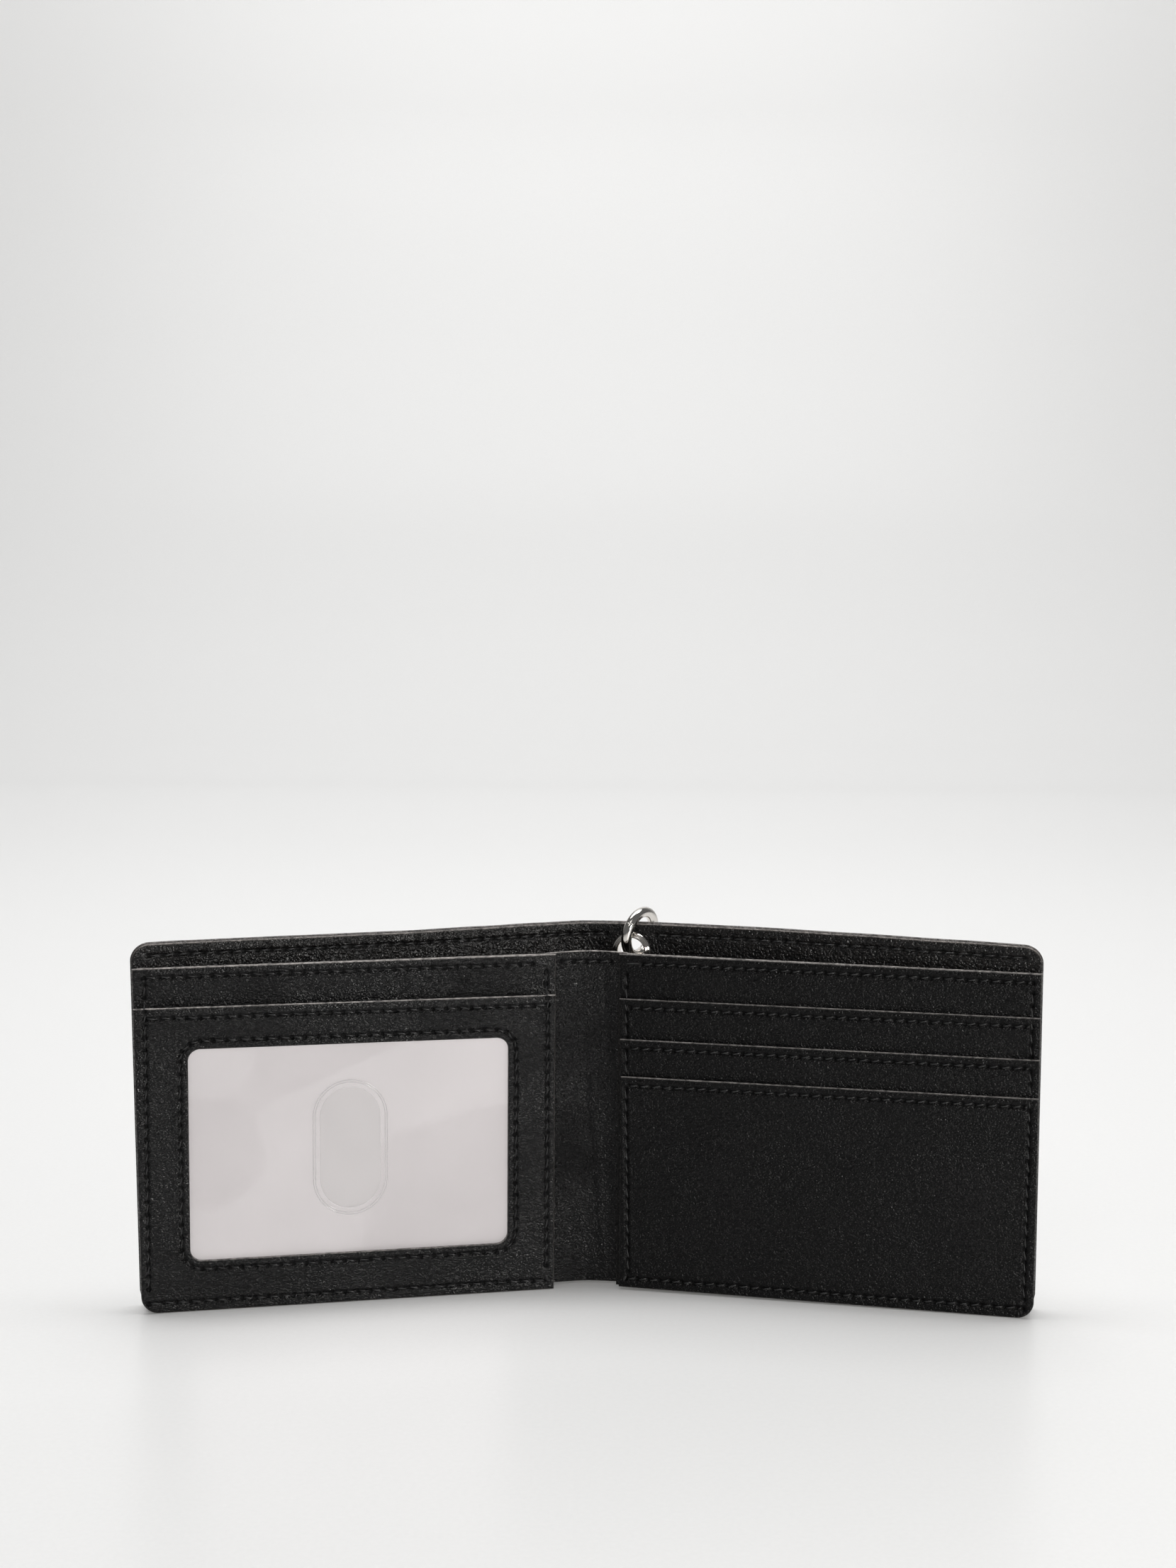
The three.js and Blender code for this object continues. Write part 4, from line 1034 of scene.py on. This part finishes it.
def film_mesh():
    K = 112
    ds = [0, .05, .12, .25, .45, .7, .95, 1.1, 1.2, 1.3, 1.45, 1.6, 1.7, 1.8, 1.95, 2.3, 3.6]
    loops = [stadium(d, K) for d in ds]
    last = loops[-1]
    c = np.array([THUMB["s"], THUMB["z"]])
    lo, hi = np.array([14.0, 7.0]), np.array([99.3, 67.6])
    dirs = last - c
    k = np.minimum(np.where(dirs[:, 0] > 0, (hi[0] - c[0]) / np.maximum(dirs[:, 0], 1e-6), (lo[0] - c[0]) / np.minimum(dirs[:, 0], -1e-6)),
                   np.where(dirs[:, 1] > 0, (hi[1] - c[1]) / np.maximum(dirs[:, 1], 1e-6), (lo[1] - c[1]) / np.minimum(dirs[:, 1], -1e-6)))
    rect = c + dirs * k[:, None]
    for q in ((lo[0], lo[1]), (lo[0], hi[1]), (hi[0], lo[1]), (hi[0], hi[1])):
        rect[np.argmin(((rect - q) ** 2).sum(1))] = q
    fr = np.concatenate([np.linspace(0, 1, 12)[1:-1], [.985, .995, 1.0]])
    rings = loops + [lerp(last, rect, f) for f in fr]
    R = len(rings)
    S = np.array([q[:, 0] for q in rings])
    Z = np.array([q[:, 1] for q in rings])
    d = np.array(ds + [9.0] * len(fr))[:, None] + 0 * S
    De = np.array(ds[:] + list(40 * (1 - fr)))[:, None] + 0 * S
    De[:len(ds)] = np.minimum(De[:len(ds)], d[:len(ds)])
    e = edge_profile(De, .12)
    weld = np.exp(-((d - 1.2) / .1) ** 2) + np.exp(-((d - 1.7) / .1) ** 2)
    rim = .1 * weld + .05 * np.exp(-((d - .25) / .15) ** 2)
    w = waves(S, Z, 90, 30, .035) + waves(S, Z, 91, 60, .03)
    w = np.clip(w, -.05, .05)
    f, b = 1.1 + e - rim + w, 1.4 - e + w * .3
    F, B = plane_l(S, f, Z), plane_l(S, np.maximum(b, f + .05), Z)
    idx = np.arange(R * K).reshape(R, K)
    nx = np.roll(idx, -1, 1)
    off = R * K
    q = [np.stack([idx[:-1], nx[:-1], nx[1:], idx[1:]], -1).reshape(-1, 4),
         np.stack([idx[:-1] + off, idx[1:] + off, nx[1:] + off, nx[:-1] + off], -1).reshape(-1, 4),
         np.stack([nx[0], idx[0], idx[0] + off, nx[0] + off], -1),
         np.stack([idx[-1], nx[-1], nx[-1] + off, idx[-1] + off], -1)]
    line = np.stack([weld + .6 * np.exp(-(d / .08) ** 2), 0 * d, 0 * d], -1).reshape(-1, 3)
    return np.concatenate([F.reshape(-1, 3), B.reshape(-1, 3)]), np.concatenate(q), np.concatenate([line, line])


P, Q, line = film_mesh()
pvc = build("clear_window_film", P, Q, M_FILM, mask=np.clip(line, 0, 1))
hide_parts("clear_window")
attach(pvc, "left_half")

S, Z = np.meshgrid(stations(12.6, 100.4, 2.5), stations(3.4, 69.4, 2.5))
D = np.minimum(np.minimum(S - 12.6, 100.4 - S), np.minimum(Z - 3.4, 69.4 - Z))
e = edge_profile(D, .08)
P, Q, used = closed_grid(plane_l(S, 1.46 + e, Z), plane_l(S, 1.7 - e, Z))
card = build("insert_card_stock", P, Q, M_PAPER)
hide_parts("insert_card")
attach(card, "insert")


# ---------------------------------------------------------------- seams
def stitches(name, holes, surf, pairs=None, lean=.2, seed=1, width=.19, lift=.0):
    """one mesh of stitches; surf(a, z, h) gives the point h above the leather at each place"""
    r = np.random.RandomState(seed)
    holes = np.asarray(holes, float)
    if pairs is None:
        pairs = [(i, i + 1) for i in range(len(holes) - 1)]
    Ps, Qs, Ts = [], [], []
    K, M = 9, 8
    t = np.linspace(0, 1, K)
    base = 0
    for i, j in pairs:
        a, b = holes[i], holes[j]
        L = np.hypot(*(b - a))
        if L > 5.2 or L < .5:
            continue
        u = (b - a) / L
        v = np.array([-u[1], u[0]])
        l = lean + r.uniform(-.05, .05)
        c = a + np.outer(.42 + (L - .84) * t, u) + np.outer((t - .5) * 2 * l, v)
        h = -.42 + (.42 + lift) * np.sin(math.pi * np.clip(t, .0, 1)) ** .45
        rad = width * (.62 + .38 * np.sin(math.pi * t) ** .5) * r.uniform(.94, 1.06)
        C = surf(c[:, 0], c[:, 1], h)
        N = surf(c[:, 0], c[:, 1], h + 1) - C
        N /= np.linalg.norm(N, axis=1, keepdims=True)
        Tn = np.gradient(C, axis=0)
        Tn /= np.linalg.norm(Tn, axis=1, keepdims=True)
        Bn = np.cross(Tn, N)
        Bn /= np.linalg.norm(Bn, axis=1, keepdims=True)
        Nn = np.cross(Bn, Tn)
        th = np.linspace(0, 2 * math.pi, M, endpoint=False)
        ring = C[:, None] + rad[:, None, None] * (np.cos(th)[None, :, None] * Bn[:, None] + .8 * np.sin(th)[None, :, None] * Nn[:, None])
        Ps += [ring.reshape(-1, 3), (C[0] - Tn[0] * rad[0] * .8)[None], (C[-1] + Tn[-1] * rad[-1] * .8)[None]]
        idx = base + np.arange(K * M).reshape(K, M)
        nx = np.roll(idx, -1, 1)
        Qs.append(np.stack([idx[:-1], idx[1:], nx[1:], nx[:-1]], -1).reshape(-1, 4))
        e0, e1 = base + K * M, base + K * M + 1
        Ts.append(np.stack([np.full(M, e0), idx[0], nx[0]], -1))
        Ts.append(np.stack([np.full(M, e1), nx[-1], idx[-1]], -1))
        base += K * M + 2
    o = build(name, np.concatenate(Ps), np.concatenate(Qs), M_THREAD, T=np.concatenate(Ts))
    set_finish(o, "thread")
    return o


def surf_plane(side, level):
    world = plane_l if side < 0 else plane_r
    return lambda s, z, h: world(s, level(s, z) - h, z)


lev_l = lambda s, z: 2.2 * smooth((z - MOUTH_Z + .05) / .9)
lev_r = lambda s, z: sum(smooth((z - e + .05) / .7) for e in SLOT_Z)


def column_stitches(name, body, side, seams, breaks, level, extra=()):
    pts, pairs = [], []
    for sm in seams:
        k = len(pts)
        h = sm.holes
        pts += list(h)
        for i in range(len(h) - 1):
            pairs.append((k + i, k + i + 1))
    for a, b in extra:
        k = len(pts)
        pts += [np.array(a), np.array(b)]
        pairs.append((k, k + 1))
    o = stitches(name, pts, surf_plane(side, level), pairs, seed=len(name))
    return o


tack_l = [((8.3 + .12 * i, 1.9 + .42 * i), (10.5 + .1 * i, 2.6 + .3 * i)) for i in range(4)]
tack_r = [((8.4 + .1 * i, 2.3 + .4 * i), (10.2 + .1 * i, 2.9 + .3 * i)) for i in range(3)]
o = column_stitches("thread_left_perimeter_stitches", "left_half", -1, [sl_in, sl_out, sl_bot], [MOUTH_Z], lev_l, tack_l)
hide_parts("thread_left_perimeter")
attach(o, "left_half")
n = len(sw.holes)
o = stitches("thread_window_stitches", sw.holes, surf_plane(-1, lambda s, z: 0 * s), [(i, (i + 1) % n) for i in range(n)], seed=2)
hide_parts("thread_window")
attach(o, "left_half")
o = stitches("thread_id_mouth_stitches", sl_mouth.holes, surf_plane(-1, lambda s, z: 0 * s), seed=3)
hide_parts("thread_id_mouth")
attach(o, "left_half")
o = stitches("thread_inner_top_left_stitches", np.vstack([[[8.2, TOP_L]], sl_top.holes]), surf_plane(-1, lambda s, z: 2.2 + 0 * s), seed=4)
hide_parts("thread_inner_top_left")
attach(o, "left_half")
o = column_stitches("thread_right_perimeter_stitches", "right_half", 1, [sr_in, sr_out, sr_bot], SLOT_Z, lev_r, tack_r)
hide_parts("thread_right_perimeter")
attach(o, "right_half")
for i, k in enumerate(("front", "middle", "rear")):
    o = stitches("thread_slot_%s_stitches" % k, sr_slot[i].holes, surf_plane(1, lambda s, z, i=i: float(i) + 0 * s), seed=5 + i)
    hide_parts("thread_slot_" + k)
    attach(o, "right_half")
o = stitches("thread_inner_top_right_stitches", np.vstack([[[7.6, TOP_L]], sr_top.holes]), surf_plane(1, lambda s, z: 3.0 + 0 * s), seed=9)
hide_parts("thread_inner_top_right")
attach(o, "right_half")
o = stitches("thread_inner_top_spine_stitches", s_spine.holes,
             lambda x, z, h: np.stack([x, spine_y(x) - h, z + 0 * x], -1), seed=10)
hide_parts("thread_inner_top_spine")
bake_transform(o)
hs = np.vstack([s_shell_l.holes, s_shell_r.holes])
o = stitches("thread_shell_top_stitches", hs, lambda x, z, h: np.stack([x, shell_y(x, z) - h, z + 0 * x], -1), seed=11, lean=.08)
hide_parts("thread_shell_top_left", "thread_shell_top_spine", "thread_shell_top_right")
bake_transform(o)
o = stitches("thread_shell_back_stitches", hs, lambda x, z, h: np.stack([x, shell_y(x, z) + 2.4 + h, z + 0 * x], -1), seed=12, lean=.08, lift=.02)
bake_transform(o)


# ---------------------------------------------------------------- eyelet, washer and jump ring
def revolve(name, profile, seg, mat, origin, axis):
    """closed profile of (radius, height) turned about the axis"""
    axis = axis / np.linalg.norm(axis)
    u = np.cross(axis, [0, 0, 1.0])
    u /= np.linalg.norm(u)
    v = np.cross(axis, u)
    pr = np.array(profile)
    th = np.linspace(0, 2 * math.pi, seg, endpoint=False)
    P = (origin[None, None] + pr[None, :, 0, None] * (np.cos(th)[:, None, None] * u + np.sin(th)[:, None, None] * v)
         + pr[None, :, 1, None] * axis)
    n, m = len(th), len(pr)
    idx = np.arange(n * m).reshape(n, m)
    a, b = np.roll(idx, -1, 0), np.roll(idx, -1, 1)
    c = np.roll(a, -1, 1)
    return build(name, P.reshape(-1, 3), np.stack([idx, a, c, b], -1).reshape(-1, 4), mat)


def rounded_profile(pts, k=5, rad=.12):
    """corner rounding of a closed profile"""
    pts = [np.array(p, float) for p in pts]
    out = []
    n = len(pts)
    for i in range(n):
        a, p, b = pts[i - 1], pts[i], pts[(i + 1) % n]
        da, db = np.linalg.norm(a - p), np.linalg.norm(b - p)
        d = min(rad, da * .45, db * .45)
        p0, p1 = p + (a - p) / da * d, p + (b - p) / db * d
        for j in range(k + 1):
            t = j / k
            out.append((1 - t) ** 2 * p0 + 2 * t * (1 - t) * p + t * t * p1)
    return out


eye_axis = shell_normal(np.array(EYE_X), np.array(EYE_Z))
eye_pos = np.array([EYE_X, float(shell_y(np.array(EYE_X), np.array(EYE_Z))), EYE_Z])
total = 2.4 * eye_axis[1]
rb, rf = EYE_BORE, EYE_FLANGE
eyelet = revolve("eyelet_nickel", rounded_profile([
    (rb, -.7), (rb + .16, -1.0), (rb + .42, -1.08), (rb + .6, -.98), (rb + .72, -.74), (rb + .84, -.74), (rb + 1.0, -.92), (rb + 1.22, -.9), (rf - .12, -.6), (rf, -.35), (rf - .05, -.14), (rb + .25, -.12),
    (rb + .25, total + .7), (rb + 1.1, total + .72), (rb + 1.0, total + 1.08), (rb + .5, total + 1.22), (rb, total + 1.0)], 4, .09),
    96, M_NICKEL, eye_pos, eye_axis)
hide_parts("eyelet")
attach(eyelet, "right_half")
washer = revolve("eyelet_washer_nickel", rounded_profile([
    (rb + .55, total + .12), (rf - .1, total + .12), (rf - .25, total + .36), (rb + 1.2, total + .52), (rb + .55, total + .5)], 4, .15),
    96, M_NICKEL, eye_pos, eye_axis)
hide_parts("eyelet_washer")
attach(washer, "right_half")

U = np.array([math.sin(RING_YAW), math.cos(RING_YAW), 0])
SIDE = np.array([math.cos(RING_YAW), -math.sin(RING_YAW), 0])
V = np.array([0, 0, math.cos(RING_LEAN)]) + SIDE * math.sin(RING_LEAN)
NR = np.cross(U, V)
na, nb = 220, 40
SPLIT = math.radians(148)
th = np.linspace(0, 2 * math.pi, na, endpoint=False)
extra = SPLIT + np.array([-.03, -.018, -.009, 0, .009, .018, .03])
th = np.sort(np.concatenate([th[np.abs(th - SPLIT) > .04], extra]))
ph = np.linspace(0, 2 * math.pi, nb, endpoint=False)
cut = .14 * np.exp(-((th - SPLIT) / .009) ** 2)
rad = (RING_T - cut)[:, None]
cc, ss = np.cos(th)[:, None, None], np.sin(th)[:, None, None]
rr = RING_R + rad * np.cos(ph)[None]
P = RING_C + rr[..., None] * (cc * U + ss * V) + (rad * np.sin(ph)[None])[..., None] * NR
idx = np.arange(len(th) * nb).reshape(len(th), nb)
a, b = np.roll(idx, -1, 0), np.roll(idx, -1, 1)
ring = build("jump_ring_nickel", P.reshape(-1, 3), np.stack([idx, a, np.roll(a, -1, 1), b], -1).reshape(-1, 4), M_NICKEL)
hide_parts("jump_ring")
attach(ring, "ring")

# material slots
for o in bpy.data.objects:
    if o.type != "MESH" or o.get("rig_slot") or not o.data.materials or o.name in frame["nodes"]:
        continue
    mn = o.data.materials[0].name
    if mn.startswith("leather"):
        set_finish(o, "leather")
    elif mn.startswith("lining"):
        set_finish(o, "lining")
    elif mn.startswith("nickel"):
        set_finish(o, "nickel")
    elif mn.startswith("pvc"):
        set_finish(o, "window_film")
    elif mn.startswith("insert"):
        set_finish(o, "insert_paper")

# ---------------------------------------------------------------- stage, light and camera
M_FLOOR = board("table_pale", (.88, .878, .872), .3, .3)
xs_ = np.array([-5.0, -2.2, -1.2, -.6, -.3, 0, .3, .6, 1.2, 2.2, 5.0])
prof = [(-6.0, 0), (-3.0, 0), (-1.6, 0), (-.4, 0), (0, 0), (.3, 0), (.8, 0)] + [(1.0 + .6 * math.sin(a), .6 - .6 * math.cos(a)) for a in np.linspace(.1, math.pi / 2, 9)] + [(1.6, 2.4)]
vs, fs = [], []
for y, z in prof:
    vs += [(x, y, z - .00003) for x in xs_]
for j in range(len(prof) - 1):
    for i in range(len(xs_) - 1):
        k = j * len(xs_) + i
        fs.append((k, k + 1, k + 1 + len(xs_), k + len(xs_)))
me = bpy.data.meshes.new("studio_sweep")
me.from_pydata(vs, [], fs)
for p in me.polygons:
    p.use_smooth = True
me.materials.append(M_FLOOR)
sweep = bpy.data.objects.new("studio_sweep", me)
bpy.context.scene.collection.objects.link(sweep)

world = bpy.data.worlds.new("studio")
world.use_nodes = True
bg = world.node_tree.nodes["Background"]
bg.inputs[0].default_value = (.98, .99, 1.0, 1)
bg.inputs[1].default_value = .14
bpy.context.scene.world = world


def area(name, loc, target, size, power, color=(1, 1, 1), size_y=None, shadow=True):
    l = bpy.data.lights.new(name, "AREA")
    l.shape = "RECTANGLE"
    l.size, l.size_y = size, size_y or size
    l.energy = power
    l.color = color
    l.use_shadow = shadow
    o = bpy.data.objects.new(name, l)
    o.location = loc
    o.rotation_mode = "QUATERNION"
    o.rotation_quaternion = (Vector(target) - Vector(loc)).to_track_quat("-Z", "Y")
    bpy.context.scene.collection.objects.link(o)
    return o


area("top_strip", (0.0, .04, 1.2), (0, .12, 0), 1.3, 7.8, size_y=.3)
area("key_right", (.52, -.86, .2), (0, 0, .045), .14, 7.0, (1, .98, .95), shadow=False)
area("front_soft", (-.25, -1.25, 1.15), (0, 0, .04), .7, 2.2)
area("back_wash", (0, .6, 1.5), (0, 1.5, .5), 1.4, 14.0)

cam = bpy.data.cameras.new("camera")
cam.lens, cam.sensor_width, cam.sensor_fit = 48.82, 36.0, "AUTO"
cam.clip_start, cam.clip_end = .02, 20
co = bpy.data.objects.new("camera", cam)
bpy.context.scene.collection.objects.link(co)
tilt, roll = math.radians(6.256), math.radians(.449)
fwd = Vector((0, math.cos(tilt), -math.sin(tilt)))
rgt = Vector((1, 0, 0))
upv = rgt.cross(fwd)
r2 = math.cos(roll) * rgt + math.sin(roll) * upv
u2 = -math.sin(roll) * rgt + math.cos(roll) * upv
m = Matrix((r2, u2, -fwd)).transposed().to_4x4()
m.translation = Vector((-.0005372, -.4962855, .1772))
co.matrix_world = m
bpy.context.scene.camera = co

vs_ = bpy.context.scene.view_settings
vs_.view_transform = "Standard"
vs_.look = "None"
vs_.exposure = 0.0
vs_.gamma = 1.0
